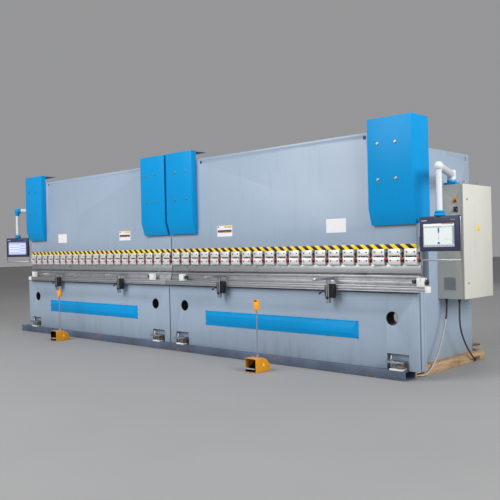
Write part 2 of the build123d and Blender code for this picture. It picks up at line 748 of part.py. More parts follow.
def cabinet_fittings():
    pieces = []
    for height in (button_height, selector_height):
        ring = bar(button_diameter + 12, (button_place, cabinet_front - 6, height),
                   (button_place, cabinet_front, height))
        pieces.append(ring - bar(button_diameter, (button_place, cabinet_front - 7, height),
                                 (button_place, cabinet_front + 1, height)))
    pieces.append(block(cabinet_left + 85, cabinet_left + 226, cabinet_front - 5, cabinet_front,
                        cabinet_bottom + 101, cabinet_bottom + 244))
    for y in (cabinet_front + 250, cabinet_rear - 146):
        x = cabinet_left + 222
        foot = bar(30, (x, y, cabinet_top), (x, y, cabinet_top + 10))
        ring = Pos(x, y, cabinet_top + 26) * Rot(90, 0, 0) * Torus(eye_ring / 2, eye_wire / 2)
        pieces.append(foot + ring)
    for points, diameter in ((pedal_cable_points, pedal_cable_diameter),
                             (supply_cable_points, supply_cable_diameter)):
        x, y, z = points[0]
        pieces.append(bar(diameter + 16, (x, y, z), (x, y, cabinet_bottom)))
    x, y, z = pedal_cable_points[-1]
    box_x = x - gland_length
    pieces.append(bar(pedal_cable_diameter + 6, (box_x, y, z), (x, y, z))
                  + block(box_x - 120, box_x, skid_front + beam_depth, skid_front + beam_depth + 120, 0, 80))
    hinges = [bar(2 * hinge_radius, (hinge_x(), hinge_y(), z), (hinge_x(), hinge_y(), z + 60))
              + block(hinge_x() - 30, hinge_x() - 2, cabinet_rear, hinge_y(), z, z + 60)
              for z in (cabinet_bottom + 150, cabinet_top - 210)]
    return pieces + hinges


def hinge_x():
    return cabinet_right - door_thickness / 2


def hinge_y():
    return cabinet_rear + hinge_radius + 2


# ---- control panel arms ----
def arm_end(pivot, reach, angle):
    return (pivot[0] + reach * cos(radians(angle)), pivot[1] + reach * sin(radians(angle)))


def arm_base(pivot, floor_height):
    """The fixed half of the arm's pivot, and what carries it."""
    plate = block(pivot[0] - 75, pivot[0] + 75, pivot[1] - 52, pivot[1] + 52, floor_height,
                  floor_height + 25)
    return plate + bar(hub_diameter, (*pivot, floor_height + 25), (*pivot, hub_joint))


def arm(pivot, end):
    """Swinging tube, elbow and drop tube."""
    hub = bar(hub_diameter, (*pivot, hub_joint + fit_gap), (*pivot, arm_height + arm_tube / 2 + 10))
    tube = bar(arm_tube, (*pivot, arm_height), (*end, arm_height))
    elbow = Pos(*end, arm_height) * Sphere(arm_tube / 2)
    drop = bar(drop_tube, (*end, swivel_top()), (*end, arm_height))
    collar = bar(swivel_diameter - 18, (*end, swivel_top()), (*end, swivel_top() + 22))
    return hub + tube + elbow + drop + collar


def swivel_top():
    return panel_middle + panel_height / 2 + panel_drop


def panel(place, angle):
    """Panel housing with a recess for the screen, the swivel flange and the U handle."""
    w, h, d = panel_width / 2, panel_height / 2, panel_depth / 2
    housing = block(-w, w, -d, d, -h, h)
    side, top = w - bezel_side, h - bezel_top
    housing -= block(-side, side, -d - 1, -d + 8, -h + bezel_side, top)
    housing -= block(-side + 15, side - 15, -d + 7, d - 6, -h + bezel_side + 15, top - 15)
    flange = bar(swivel_diameter, (0, 0, h), (0, 0, h + panel_drop - fit_gap))
    bar_w = w + 14
    handle = block(-bar_w, -w, -4, 12, -h - 82, h) + block(w, bar_w, -4, 12, -h - 82, h)
    handle += block(-bar_w, bar_w, -4, 12, -h - 96, -h - 82)
    home = Pos(*place, panel_middle) * Rot(0, 0, angle)
    screen = block(-side + fit_gap, side - fit_gap, -d + 2, -d + 8, -h + bezel_side + fit_gap,
                   top - fit_gap)
    return home * (housing + flange + handle), home * screen


def make_arms():
    bracket_floor = hub_joint - 100
    bracket = block(left_pivot[0] - 75, -cabinet_left, left_pivot[1] - 52, left_pivot[1] + 52,
                    bracket_floor - 160, bracket_floor)
    save("arm_bases", arm_base(right_pivot, cabinet_top), arm_base(left_pivot, bracket_floor) + bracket)
    set_ups = {"right": (right_pivot, right_arm_reach, right_arm_angle, right_panel_angle),
               "left": (left_pivot, left_arm_reach, left_arm_angle, left_panel_angle)}
    for name, (pivot, reach, arm_angle, panel_angle) in set_ups.items():
        end = arm_end(pivot, reach, arm_angle)
        save(name + "_arm", arm(pivot, end))
        housing, screen = panel(end, panel_angle)
        save(name + "_panel", housing)
        save(name + "_screen", screen)


# ---- foot pedals ----
def pedal_housing(place):
    """A hood, open towards the operator, that guards the treadle."""
    x, y = place
    w, front, back = pedal_width / 2, -pedal_length / 2, pedal_length / 2
    outline = [(front, 0), (back, 0), (back, 70), (back - 60, pedal_height - 25), (back - 110, pedal_height),
               (front, pedal_height)]
    hood = along_x([(y + a, z) for a, z in outline], x - w, x + w)
    t = pedal_wall
    space = [(front - 1, 2 * t), (back - t, 2 * t), (back - t, 66), (back - 62, pedal_height - 33),
             (back - 112, pedal_height - t), (front - 1, pedal_height - t)]
    return hood - along_x([(y + a, z) for a, z in space], x - w + t, x + w - t)


def treadle(place):
    """The foot plate, pivoted at the rear of the hood."""
    x, y = place
    w = pedal_width / 2 - pedal_wall - 4
    pivot_y, pivot_z = y + pedal_length / 2 - 40, 57
    toe = y - pedal_length / 2 - 25
    plate = along_x([(toe, 40), (pivot_y, 60), (pivot_y, 68), (toe, 50)], x - w, x + w)
    return plate + bar(treadle_tube, (x - w, pivot_y, pivot_z), (x + w, pivot_y, pivot_z))


def estop_station(place):
    """The pole and the button box on it."""
    x, y = place
    pole = bar(pole_diameter, (x, y, pedal_height), (x, y, station_bottom))
    top = station_bottom + station_height
    shoulder = top - station_guard
    box = bar(station_diameter, (x, y, station_bottom), (x, y, shoulder))
    guard = bar(station_diameter, (x, y, shoulder), (x, y, top)) - block(
        x - 24, x + 24, y - 60, y + 60, shoulder, top + 1)
    bore = bar(estop_stem, (x, y, top - 50), (x, y, top))
    return pole + box + guard - bore


def estop_button(place):
    x, y = place
    top = station_bottom + station_height
    stem = bar(estop_stem - 2 * running_gap, (x, y, top - 38), (x, y, top - 16))
    return stem + bar(40, (x, y, top - 17), (x, y, top - 4))


def make_pedals():
    save("pedal_housings", *[pedal_housing(place) for place in pedal_places.values()])
    save("estop_posts", *[estop_station(place) for place in pedal_places.values()])
    for name, place in pedal_places.items():
        save(name + "_treadle", treadle(place))
        save(name + "_estop", estop_button(place))


# ---- back gauge ----
def make_gauges():
    guides = []
    for side in sides.values():
        for way in (-1, 1):
            middle = machine_x(side, way * gauge_guide_offset)
            half = gauge_guide_width / 2
            guides.append(block(middle - half, middle + half, bed_rear, bed_rear + gauge_guide_length,
                                bed_top - gauge_guide_height, bed_top))
    save("back_gauge_guides", *guides)
    for name, side in sides.items():
        save(name + "_gauge_carriages", *gauge_carriages(side))
        save(name + "_gauge_beam", gauge_beam(side))


def gauge_carriages(side):
    carriages = []
    for way in (-1, 1):
        middle = machine_x(side, way * gauge_guide_offset)
        half = gauge_guide_width / 2
        saddle = block(middle - half - 16, middle + half + 16, gauge_rest, gauge_rest + saddle_length,
                       bed_top - 40, saddle_top)
        saddle -= block(middle - half - fit_gap, middle + half + fit_gap, gauge_rest - 1,
                        gauge_rest + saddle_length + 1, bed_top - 41, bed_top + fit_gap)
        carriages.append(saddle)
    return carriages


def gauge_beam(side):
    """The cross beam with its stop fingers."""
    middle = machine_x(side, 0)
    low, high = saddle_top + fit_gap, saddle_top + 90
    beam = block(middle - beam_half, middle + beam_half, gauge_rest + 20, gauge_rest + 100, low, high)
    for offset in (-1100, -380, 380, 1100):
        beam += block(middle + offset - 30, middle + offset + 30, gauge_rest - 10, gauge_rest + 100,
                      high, high + 60)
        beam += block(middle + offset - 22, middle + offset + 22, gauge_rest - 150, gauge_rest - 10,
                      die_top - 4, die_top + 26)
    return beam


# ---- cables ----
def cable(points, diameter):
    """Straight runs joined by the largest arcs that the runs allow."""
    spots = [Vector(*point) for point in points]
    radii = []
    for before, here, after in zip(spots, spots[1:], spots[2:]):
        turn = radians((here - before).get_angle(after - here))
        shorter = min((here - before).length, (after - here).length)
        radii.append(0.45 * shorter / tan(turn / 2))
    print("cable radii", [round(radius) for radius in radii])
    path = FilletPolyline(*points, radius=radii)
    start = Plane(origin=spots[0], z_dir=spots[1] - spots[0])
    tube = sweep(start * Circle(diameter / 2), path=path)
    section = pi * diameter ** 2 / 4
    print("cable length", round(path.length), "volume over section", round(tube.volume / section))
    return tube


def make_cables():
    save("pedal_cable", cable(pedal_cable_points, pedal_cable_diameter))
    save("supply_cable", cable(supply_cable_points, supply_cable_diameter))
    last, end = Vector(*supply_cable_points[-2]), Vector(*supply_cable_points[-1])
    way = Vector(end.X - last.X, end.Y - last.Y, 0).normalized()
    neck_end = end + way * plug_neck_length
    tip = neck_end + way * plug_length
    neck = bar(plug_neck_diameter, end, neck_end)
    body = bar(plug_diameter, neck_end, tip)
    save("supply_plug", neck + body)


os.makedirs("parts", exist_ok=True)
make_skid()
make_frames()
make_beds()
make_front()
make_rams()
make_hydraulics()
make_covers()
make_supports()
make_feet()
make_cabinet()
make_arms()
make_pedals()
make_gauges()
make_cables()
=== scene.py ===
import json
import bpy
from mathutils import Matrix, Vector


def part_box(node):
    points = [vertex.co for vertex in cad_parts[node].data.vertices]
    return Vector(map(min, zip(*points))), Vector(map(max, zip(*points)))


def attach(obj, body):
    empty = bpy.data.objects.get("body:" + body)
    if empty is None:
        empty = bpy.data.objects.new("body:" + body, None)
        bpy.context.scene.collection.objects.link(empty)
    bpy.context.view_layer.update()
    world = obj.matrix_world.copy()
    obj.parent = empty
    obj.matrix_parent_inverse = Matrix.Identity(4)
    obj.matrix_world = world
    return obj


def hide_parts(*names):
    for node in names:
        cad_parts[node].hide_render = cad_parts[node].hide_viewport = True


bl_info = {
    "name": "Tandem Press Brake",
    "version": (1, 0, 0),
    "blender": (4, 5, 0),
    "location": "View3D > Sidebar > Press Brake",
    "description": "Builds the looks of a tandem press brake around its CAD frame",
    "category": "Object",
}

from math import atan2, cos, pi, radians, sin

import bpy
from bpy.props import FloatProperty, FloatVectorProperty, PointerProperty
from mathutils import Matrix, Vector

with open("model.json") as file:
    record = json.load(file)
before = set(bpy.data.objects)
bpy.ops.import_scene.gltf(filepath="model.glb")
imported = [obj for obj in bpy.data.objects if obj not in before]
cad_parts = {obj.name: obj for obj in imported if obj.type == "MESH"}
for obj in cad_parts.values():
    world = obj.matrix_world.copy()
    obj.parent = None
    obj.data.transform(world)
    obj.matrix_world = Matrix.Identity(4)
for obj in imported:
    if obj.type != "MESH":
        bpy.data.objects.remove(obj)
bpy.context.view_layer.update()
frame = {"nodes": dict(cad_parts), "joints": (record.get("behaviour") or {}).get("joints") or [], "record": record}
record = frame["record"]
slot_of = {part["node"]: part["material_slot"] for part in record["subparts"]}
body_with = {node: body for body, nodes in record["behaviour"]["bodies"].items() for node in nodes}
joints = {joint["name"]: joint for joint in frame["joints"]}
machine_middle = 2.010  # from the joint between the two machines to the middle of each, in metres


# ---- sizes and colours that a user would change ----
def length(name, description, default):
    return FloatProperty(name=name, description=description, default=default, unit="LENGTH", min=0.0)


def tint(name, description, red, green, blue):
    """A colour property; the values are the usual 0 to 255."""
    return FloatVectorProperty(name=name, description=description, subtype="COLOR", size=3,
                               min=0.0, max=1.0, default=linear(red, green, blue))


def linear(*values):
    return [((v / 255 + 0.055) / 1.055) ** 2.4 if v > 10 else v / 255 / 12.92 for v in values]


class BrakeSizes(bpy.types.PropertyGroup):
    plate_edge: length("Plate edge", "Rounding of the flame-cut plates", 0.002)
    tool_edge: length("Tool edge", "Rounding of the ground tooling", 0.0008)
    sheet_edge: length("Sheet bend", "Outer bend radius of the folded covers", 0.005)
    case_edge: length("Case edge", "Rounding of the moulded cases", 0.006)
    clamp_pitch: length("Clamp pitch", "Distance from one quick clamp to the next", 0.2)
    stripe_pitch: length("Stripe pitch", "Distance from one yellow stripe to the next", 0.128)
    tape_height: length("Tape height", "Height of the striped tape on the ram", 0.052)


class BrakeColours(bpy.types.PropertyGroup):
    body: tint("Body", "Light blue-grey of the frames, beds and rams", 158, 175, 194)
    cover: tint("Covers", "Bright blue of the cylinder covers and trim panels", 10, 150, 216)
    cabinet: tint("Cabinet", "Pale grey-cream of the electrical cabinet", 214, 214, 204)
    pedal: tint("Pedals", "Orange-yellow of the foot pedals", 250, 168, 26)
    panel: tint("Panel case", "Dark navy of the control panels", 42, 46, 76)
    stripe: tint("Stripes", "Yellow of the striped tape", 252, 214, 34)
    red: tint("Red parts", "Clamp levers and stop buttons", 214, 28, 34)
    timber: tint("Timber", "Sawn timber of the skid", 202, 172, 132)


# ---- shader nodes ----
def put(tree, kind, settings=None, inputs=None):
    """Adds a node, sets it up, and links or fills its inputs."""
    made = tree.nodes.new(kind)
    for key, value in (settings or {}).items():
        setattr(made, key, value)
    for key, value in (inputs or {}).items():
        if isinstance(value, bpy.types.NodeSocket):
            tree.links.new(value, made.inputs[key])
        else:
            made.inputs[key].default_value = value
    return made


def maths(tree, operation, first, second=0.0):
    return put(tree, "ShaderNodeMath", {"operation": operation}, {0: first, 1: second}).outputs[0]


def spread(tree, value, low, high, to_low=0.0, to_high=1.0):
    """Carries a range of values over to another, and clamps it there."""
    return put(tree, "ShaderNodeMapRange", None,
               {0: value, 1: low, 2: high, 3: to_low, 4: to_high}).outputs[0]


def blended(tree, share, first, second, how="MIX"):
    node = put(tree, "ShaderNodeMix", {"data_type": "RGBA", "blend_type": how})
    for key, value in ((0, share), (6, first), (7, second)):
        if isinstance(value, bpy.types.NodeSocket):
            tree.links.new(value, node.inputs[key])
        else:
            node.inputs[key].default_value = value
    return node.outputs[2]


def grey(value):
    return (value, value, value, 1.0)


def darker(tree, color, share):
    return blended(tree, 1.0, color, grey(share), "MULTIPLY")


def cloud(tree, place, scale, detail=3.0, rough=0.55):
    return put(tree, "ShaderNodeTexNoise", None,
               {"Vector": place, "Scale": scale, "Detail": detail, "Roughness": rough}).outputs[0]


def stretched(tree, place, stretch):
    return put(tree, "ShaderNodeVectorMath", {"operation": "MULTIPLY"},
               {0: place, 1: stretch}).outputs[0]


def new_group(name, inputs):
    """A group with the given inputs, and Color, Roughness and Height put out."""
    tree = bpy.data.node_groups.new(name, "ShaderNodeTree")
    for label, kind, default in inputs:
        socket = tree.interface.new_socket(name=label, in_out="INPUT", socket_type="NodeSocket" + kind)
        socket.default_value = default
    for label, kind in (("Color", "Color"), ("Roughness", "Float"), ("Height", "Float")):
        tree.interface.new_socket(name=label, in_out="OUTPUT", socket_type="NodeSocket" + kind)
    given = tree.nodes.new("NodeGroupInput").outputs
    place = tree.nodes.new("ShaderNodeTexCoord").outputs["Object"]
    return tree, given, place


def give_out(tree, color, roughness, height):
    put(tree, "NodeGroupOutput", None, {0: color, 1: roughness, 2: height})


def enamel_group():
    """Sprayed paint: faint clouds, orange peel, scuffs, runs of dirt and dust near the floor."""
    tree, given, place = new_group("Enamel", [
        ("Paint", "Color", grey(0.5)), ("Dirt", "Color", grey(0.1)), ("Gloss", "Float", 0.35),
        ("Peel", "Float", 260.0), ("Dust", "Float", 0.35)])
    clouds = cloud(tree, place, 0.8, 5.0)
    color = blended(tree, spread(tree, clouds, 0.3, 0.7), given["Paint"],
                    darker(tree, given["Paint"], 0.9))
    runs = cloud(tree, stretched(tree, place, (5.0, 5.0, 0.5)), 2.0, 6.0, 0.65)
    color = blended(tree, spread(tree, runs, 0.56, 0.78, 0.0, 0.2), color, given["Dirt"])
    scuffs = cloud(tree, stretched(tree, place, (1.0, 1.0, 3.5)), 34.0, 8.0, 0.7)
    scuffs = spread(tree, scuffs, 0.67, 0.72)
    color = blended(tree, maths(tree, "MULTIPLY", scuffs, 0.35), color, given["Dirt"])
    height_z = put(tree, "ShaderNodeSeparateXYZ", None, {0: place}).outputs[2]
    low = maths(tree, "MULTIPLY", spread(tree, height_z, 0.42, 0.08),
                spread(tree, runs, 0.3, 0.7, 0.4, 1.0))
    color = blended(tree, maths(tree, "MULTIPLY", low, given["Dust"]), color, given["Dirt"])
    rough = maths(tree, "ADD", given["Gloss"], maths(tree, "MULTIPLY", scuffs, 0.2))
    rough = maths(tree, "ADD", rough, spread(tree, clouds, 0.3, 0.7, -0.03, 0.06))
    peel = cloud(tree, place, given["Peel"], 1.0)
    give_out(tree, color, rough, maths(tree, "SUBTRACT", peel, maths(tree, "MULTIPLY", scuffs, 0.4)))
    return tree


def brushed_group():
    """Ground or drawn metal: streaks along one way, oil stains and small nicks."""
    tree, given, place = new_group("Brushed Metal", [
        ("Metal", "Color", grey(0.7)), ("Stain", "Color", grey(0.2)), ("Gloss", "Float", 0.3),
        ("Across", "Vector", (1.0, 60.0, 60.0)), ("Stained", "Float", 0.3)])
    streaks = cloud(tree, stretched(tree, place, given["Across"]), 6.0, 6.0, 0.7)
    color = blended(tree, spread(tree, streaks, 0.3, 0.7), given["Metal"],
                    darker(tree, given["Metal"], 0.72))
    stains = cloud(tree, stretched(tree, place, (1.0, 1.0, 2.0)), 5.0, 6.0, 0.65)
    stains = spread(tree, stains, 0.52, 0.7)
    color = blended(tree, maths(tree, "MULTIPLY", stains, given["Stained"]), color, given["Stain"])
    nicks = spread(tree, cloud(tree, place, 90.0, 4.0), 0.7, 0.75)
    rough = maths(tree, "ADD", given["Gloss"], spread(tree, streaks, 0.3, 0.7, -0.06, 0.1))
    rough = maths(tree, "ADD", rough, maths(tree, "MULTIPLY", stains, 0.15))
    give_out(tree, color, rough, maths(tree, "SUBTRACT", streaks, nicks))
    return tree


def moulded_group():
    """Moulded plastic or rubber: fine spark grain, rubbed patches and finger marks."""
    tree, given, place = new_group("Moulded", [
        ("Plastic", "Color", grey(0.3)), ("Rubbed", "Color", grey(0.4)), ("Gloss", "Float", 0.45),
        ("Grain", "Float", 900.0)])
    rubbed = spread(tree, cloud(tree, place, 14.0, 6.0, 0.65), 0.5, 0.75, 0.0, 0.35)
    color = blended(tree, rubbed, given["Plastic"], given["Rubbed"])
    grain = put(tree, "ShaderNodeTexVoronoi", None, {"Vector": place, "Scale": given["Grain"]}).outputs[0]
    rough = maths(tree, "SUBTRACT", given["Gloss"], maths(tree, "MULTIPLY", rubbed, 0.3))
    give_out(tree, color, rough, grain)
    return tree


def weathered_group():
    """Old paint or bare steel that rusts through in patches."""
    tree, given, place = new_group("Weathered", [
        ("Paint", "Color", grey(0.3)), ("Rust", "Color", grey(0.2)), ("Patches", "Float", 7.0),
        ("Spread", "Float", 0.6), ("Gloss", "Float", 0.5)])
    patches = cloud(tree, stretched(tree, place, (1.0, 1.0, 1.6)), given["Patches"], 9.0, 0.68)
    rust = spread(tree, patches, given["Spread"], maths(tree, "ADD", given["Spread"], 0.06))
    worn = blended(tree, spread(tree, cloud(tree, place, 3.0, 5.0), 0.35, 0.7), given["Paint"],
                   darker(tree, given["Paint"], 0.6))
    speckle = cloud(tree, place, 70.0, 4.0)
    rusty = blended(tree, speckle, given["Rust"], darker(tree, given["Rust"], 0.45))
    color = blended(tree, rust, worn, rusty)
    rough = maths(tree, "ADD", given["Gloss"], maths(tree, "MULTIPLY", rust, 0.35))
    give_out(tree, color, rough, maths(tree, "MULTIPLY", rust, speckle))
    return tree


def sawn_group():
    """Rough sawn timber: long fibres, saw marks and dark weathering."""
    tree, given, place = new_group("Sawn Timber", [
        ("Pale", "Color", grey(0.5)), ("Dark", "Color", grey(0.1)), ("Along", "Vector", (30.0, 1.0, 30.0))])
    fibres = cloud(tree, stretched(tree, place, given["Along"]), 3.0, 8.0, 0.7)
    saw = put(tree, "ShaderNodeTexWave", {"bands_direction": "Y"},
              {"Vector": place, "Scale": 40.0, "Distortion": 3.0, "Detail": 2.0}).outputs[1]
    color = blended(tree, spread(tree, fibres, 0.35, 0.68), given["Pale"], given["Dark"])
    grime = spread(tree, cloud(tree, place, 4.0, 6.0), 0.5, 0.75, 0.0, 0.5)
    color = blended(tree, grime, color, darker(tree, given["Dark"], 0.5))
    rough = spread(tree, fibres, 0.3, 0.7, 0.7, 0.92)
    give_out(tree, color, rough, maths(tree, "ADD", fibres, maths(tree, "MULTIPLY", saw, 0.3)))
    return tree


def new_material(name):
    """A material with its tree and its surface shader."""
    material = bpy.data.materials.new(name)
    material.use_nodes = True
    return material, material.node_tree, material.node_tree.nodes["Principled BSDF"]


def finish(name, group, values, bump=0.1, depth=0.001, metallic=0.0, **shader):
    """A material: one effect group feeds the shader's colour, roughness and bump."""
    material, tree, surface = new_material(name)
    effect = put(tree, "ShaderNodeGroup", {"node_tree": group}, values)
    tree.links.new(effect.outputs["Color"], surface.inputs["Base Color"])
    tree.links.new(effect.outputs["Roughness"], surface.inputs["Roughness"])
    relief = put(tree, "ShaderNodeBump", None,
                 {"Strength": bump, "Distance": depth, "Height": effect.outputs["Height"]})
    tree.links.new(relief.outputs[0], surface.inputs["Normal"])
    surface.inputs["Metallic"].default_value = metallic
    for key, value in shader.items():
        surface.inputs[key.replace("_", " ")].default_value = value
    return material


def solid(values):
    return (*values, 1.0)


def color_of(*values):
    """The usual 0 to 255 values as a shader colour."""
    return solid(linear(*values))


finishes = {}  # the materials, by name; mix_finishes fills it


def mix_finishes():
    """Every finish of the machine, by the name of its material slot or of the parts that wear it."""
    hues = bpy.context.scene.brake_colours
    enamel, brushed, moulded = enamel_group(), brushed_group(), moulded_group()
    weathered, sawn = weathered_group(), sawn_group()
    dirt = color_of(88, 92, 98)

    def painted(name, color, gloss=0.34, dust=0.3, dirt_color=dirt, **more):
        more = {"Coat Weight": 0.08, "Coat Roughness": 0.2, "Specular IOR Level": 0.3, **more}
        values = {"Paint": color, "Dirt": dirt_color, "Gloss": gloss, "Dust": dust}
        finishes[name] = finish(name, enamel, values, 0.12, 0.0006, **more)

    def metal(name, color, gloss=0.3, across=(1.0, 60.0, 60.0), stained=0.3, stain=(60, 60, 62),
              bump=0.12, metallic=1.0):
        values = {"Metal": color_of(*color), "Stain": color_of(*stain), "Gloss": gloss,
                  "Across": across, "Stained": stained}
        finishes[name] = finish(name, brushed, values, bump, 0.0004, metallic)

    def plastic(name, color, rubbed, gloss=0.45, grain=900.0, **more):
        values = {"Plastic": color, "Rubbed": rubbed, "Gloss": gloss, "Grain": grain}
        finishes[name] = finish(name, moulded, values, 0.15, 0.0003, **more)

    painted("machine_paint", solid(hues.body))
    painted("tank_paint", color_of(150, 166, 184))
    painted("motor_paint", color_of(70, 92, 116), 0.42)
    painted("cover_paint", solid(hues.cover), 0.34, 0.1, color_of(16, 104, 170),
            **{"Coat Weight": 0.0, "Specular IOR Level": 0.12})
    painted("cabinet_paint", solid(hues.cabinet), 0.42, 0.1, color_of(150, 150, 140))
    painted("arm_paint", color_of(222, 228, 232), 0.3, 0.0)
    painted("white_block", color_of(238, 238, 234), 0.35, 0.0)
    painted("pedal_paint", solid(hues.pedal), 0.3, 0.5, color_of(120, 84, 40))
    painted("treadle_paint", color_of(66, 84, 150), 0.4, 0.8, color_of(190, 190, 195))
    metal("steel", (196, 198, 202), 0.3)
    metal("tool_steel", (190, 192, 196), 0.36, (1.0, 30.0, 60.0), 0.4, bump=0.06, metallic=0.75)
    metal("post_steel", (196, 200, 204), 0.3, (60.0, 60.0, 1.0), 0.25)
    metal("rail_aluminium", (200, 203, 208), 0.38, (1.0, 60.0, 60.0), 0.3, (96, 100, 106), 0.06, 0.75)
    metal("clamp_steel", (244, 244, 242), 0.34, (20.0, 20.0, 4.0), 0.2, (150, 146, 138), 0.06, 0.35)
    metal("rod_chrome", (225, 227, 230), 0.1, (40.0, 40.0, 1.0), 0.1)
    metal("bolt_zinc", (176, 164, 146), 0.34, (30.0, 30.0, 30.0), 0.4)
    plastic("dark_steel", color_of(34, 36, 40), color_of(92, 94, 98), 0.42, 500.0, metallic=0.5)
    plastic("black_plastic", color_of(22, 22, 24), color_of(54, 54, 58))
    plastic("gear_plastic", color_of(148, 152, 154), color_of(190, 192, 190))
    plastic("duct_plastic", color_of(176, 180, 178), color_of(200, 200, 196), 0.5)
    plastic("panel_case", solid(hues.panel), color_of(74, 78, 106), 0.42)
    plastic("red_plastic", solid(hues.red), color_of(236, 84, 80), 0.28, 300.0, Coat_Weight=0.3)
    plastic("yellow_plastic", color_of(246, 200, 24), color_of(250, 224, 120), 0.4)
    plastic("cable_rubber", color_of(38, 38, 40), color_of(98, 96, 92), 0.55, 700.0)
    finishes["skid_paint"] = finish("skid_paint", weathered, {
        "Paint": color_of(86, 100, 122), "Rust": color_of(176, 104, 50), "Patches": 6.0,
        "Spread": 0.6, "Gloss": 0.5}, 0.4, 0.002)
    finishes["rusty_steel"] = finish("rusty_steel", weathered, {
        "Paint": color_of(150, 140, 130), "Rust": color_of(128, 72, 40), "Patches": 16.0,
        "Spread": 0.5, "Gloss": 0.45}, 0.4, 0.001, 0.5)
    finishes["timber"] = finish("timber", sawn, {"Pale": solid(hues.timber),
                                                 "Dark": color_of(128, 98, 68)}, 0.5, 0.002)
    finishes["striped_tape"] = striped_tape(hues)
    finishes["printed"] = printed("printed", moulded, 0.0)
    finishes["lit_display"] = printed("lit_display", moulded, 0.22)
    finishes["screen_glass"] = finishes["lit_display"]
    finishes["cable_wrap"] = printed("cable_wrap", moulded, 0.0)


def striped_tape(hues):
    """Slanted yellow and black bands with scratches."""
    material, tree, surface = new_material("striped_tape")
    place = tree.nodes.new("ShaderNodeTexCoord").outputs["Object"]
    x, _, z = put(tree, "ShaderNodeSeparateXYZ", None, {0: place}).outputs
    slant = maths(tree, "ADD", x, maths(tree, "MULTIPLY", z, 1.25))
    share = maths(tree, "FRACT", maths(tree, "DIVIDE", slant, sizes().stripe_pitch))
    band = maths(tree, "GREATER_THAN", share, 0.5)
    color = blended(tree, band, color_of(26, 26, 44), solid(hues.stripe))
    scratches = cloud(tree, stretched(tree, place, (1.0, 1.0, 5.0)), 30.0, 7.0, 0.7)
    scratches = spread(tree, scratches, 0.62, 0.7)
    color = blended(tree, maths(tree, "MULTIPLY", scratches, 0.5), color, color_of(120, 116, 100))
    tree.links.new(color, surface.inputs["Base Color"])
    tree.links.new(spread(tree, scratches, 0.0, 1.0, 0.38, 0.62), surface.inputs["Roughness"])
    return material


def printed(name, group, glow):
    """A print that takes its colour from the mesh's own tint; a display also glows with it."""
    material, tree, surface = new_material(name)
    ink = put(tree, "ShaderNodeAttribute", {"attribute_name": "tint"}).outputs["Color"]
    effect = put(tree, "ShaderNodeGroup", {"node_tree": group},
                 {"Plastic": ink, "Rubbed": ink, "Gloss": 0.4, "Grain": 1200.0})
    place = tree.nodes.new("ShaderNodeTexCoord").outputs["Object"]
    dull = spread(tree, cloud(tree, place, 22.0, 5.0), 0.35, 0.75, 0.0, 0.22)
    color = blended(tree, dull, effect.outputs["Color"], darker(tree, ink, 0.75))
    tree.links.new(color, surface.inputs["Base Color"])
    tree.links.new(effect.outputs["Roughness"], surface.inputs["Roughness"])
    relief = put(tree, "ShaderNodeBump", None,
                 {"Strength": 0.08, "Distance": 0.0003, "Height": effect.outputs["Height"]})
    tree.links.new(relief.outputs[0], surface.inputs["Normal"])
    if glow:
        tree.links.new(ink, surface.inputs["Emission Color"])
        surface.inputs["Emission Strength"].default_value = glow
    return material


# ---- workshop: shaping pieces ----
def only(*objs):
    """Selects these objects and nothing else; the first is active."""
    bpy.ops.object.select_all(action="DESELECT")
    for obj in objs:
        obj.select_set(True)
    bpy.context.view_layer.objects.active = objs[0]


def settled(obj, matrix=None):
    """Puts an object's place and turn into its mesh."""
    if matrix is not None:
        obj.matrix_world = matrix @ obj.matrix_world
    only(obj)
    bpy.ops.object.transform_apply(location=True, rotation=True, scale=True)
    return obj


def stock(low, high):
    """A piece of bar stock between two corners, in metres, ready for shaping."""
    low, high = Vector(low), Vector(high)
    bpy.ops.mesh.primitive_cube_add(size=1.0, location=(low + high) / 2, scale=high - low)
    return settled(bpy.context.active_object)


def modified(obj, kind, **values):
    only(obj)
    modifier = obj.modifiers.new(kind.title(), kind)
    for key, value in values.items():
        setattr(modifier, key, value)
    bpy.ops.object.modifier_apply(modifier=modifier.name)
    return obj


def rounded(obj, width, segments=2, limit=30):
    return modified(obj, "BEVEL", width=width, segments=segments, limit_method="ANGLE",
                    angle_limit=radians(limit))


def plate(low, high, edge=0.0015, segments=2):
    return rounded(stock(low, high), edge, segments)


def cut(obj, *cutters):
    """Takes the cutters' shape out of a piece and clears them away."""
    for cutter in cutters:
        modified(obj, "BOOLEAN", operation="DIFFERENCE", object=cutter, solver="EXACT")
        bpy.data.objects.remove(cutter)
    return obj


def joined(*objs):
    only(*objs)
    if len(objs) > 1:
        bpy.ops.object.join()
    return bpy.context.active_object


def duplicate(obj, matrix):
    """A copy with its own mesh, carried by the matrix."""
    made = bpy.data.objects.new(obj.name + "_copy", obj.data.copy())
    bpy.context.scene.collection.objects.link(made)
    made.data.transform(matrix)
    if matrix.determinant() < 0:
        made.data.flip_normals()
    return made


def row(obj, offsets):
    """One object with a copy of the piece at each offset; the pattern itself goes."""
    copies = [duplicate(obj, Matrix.Translation(offset)) for offset in offsets]
    bpy.data.objects.remove(obj)
    return joined(*copies)


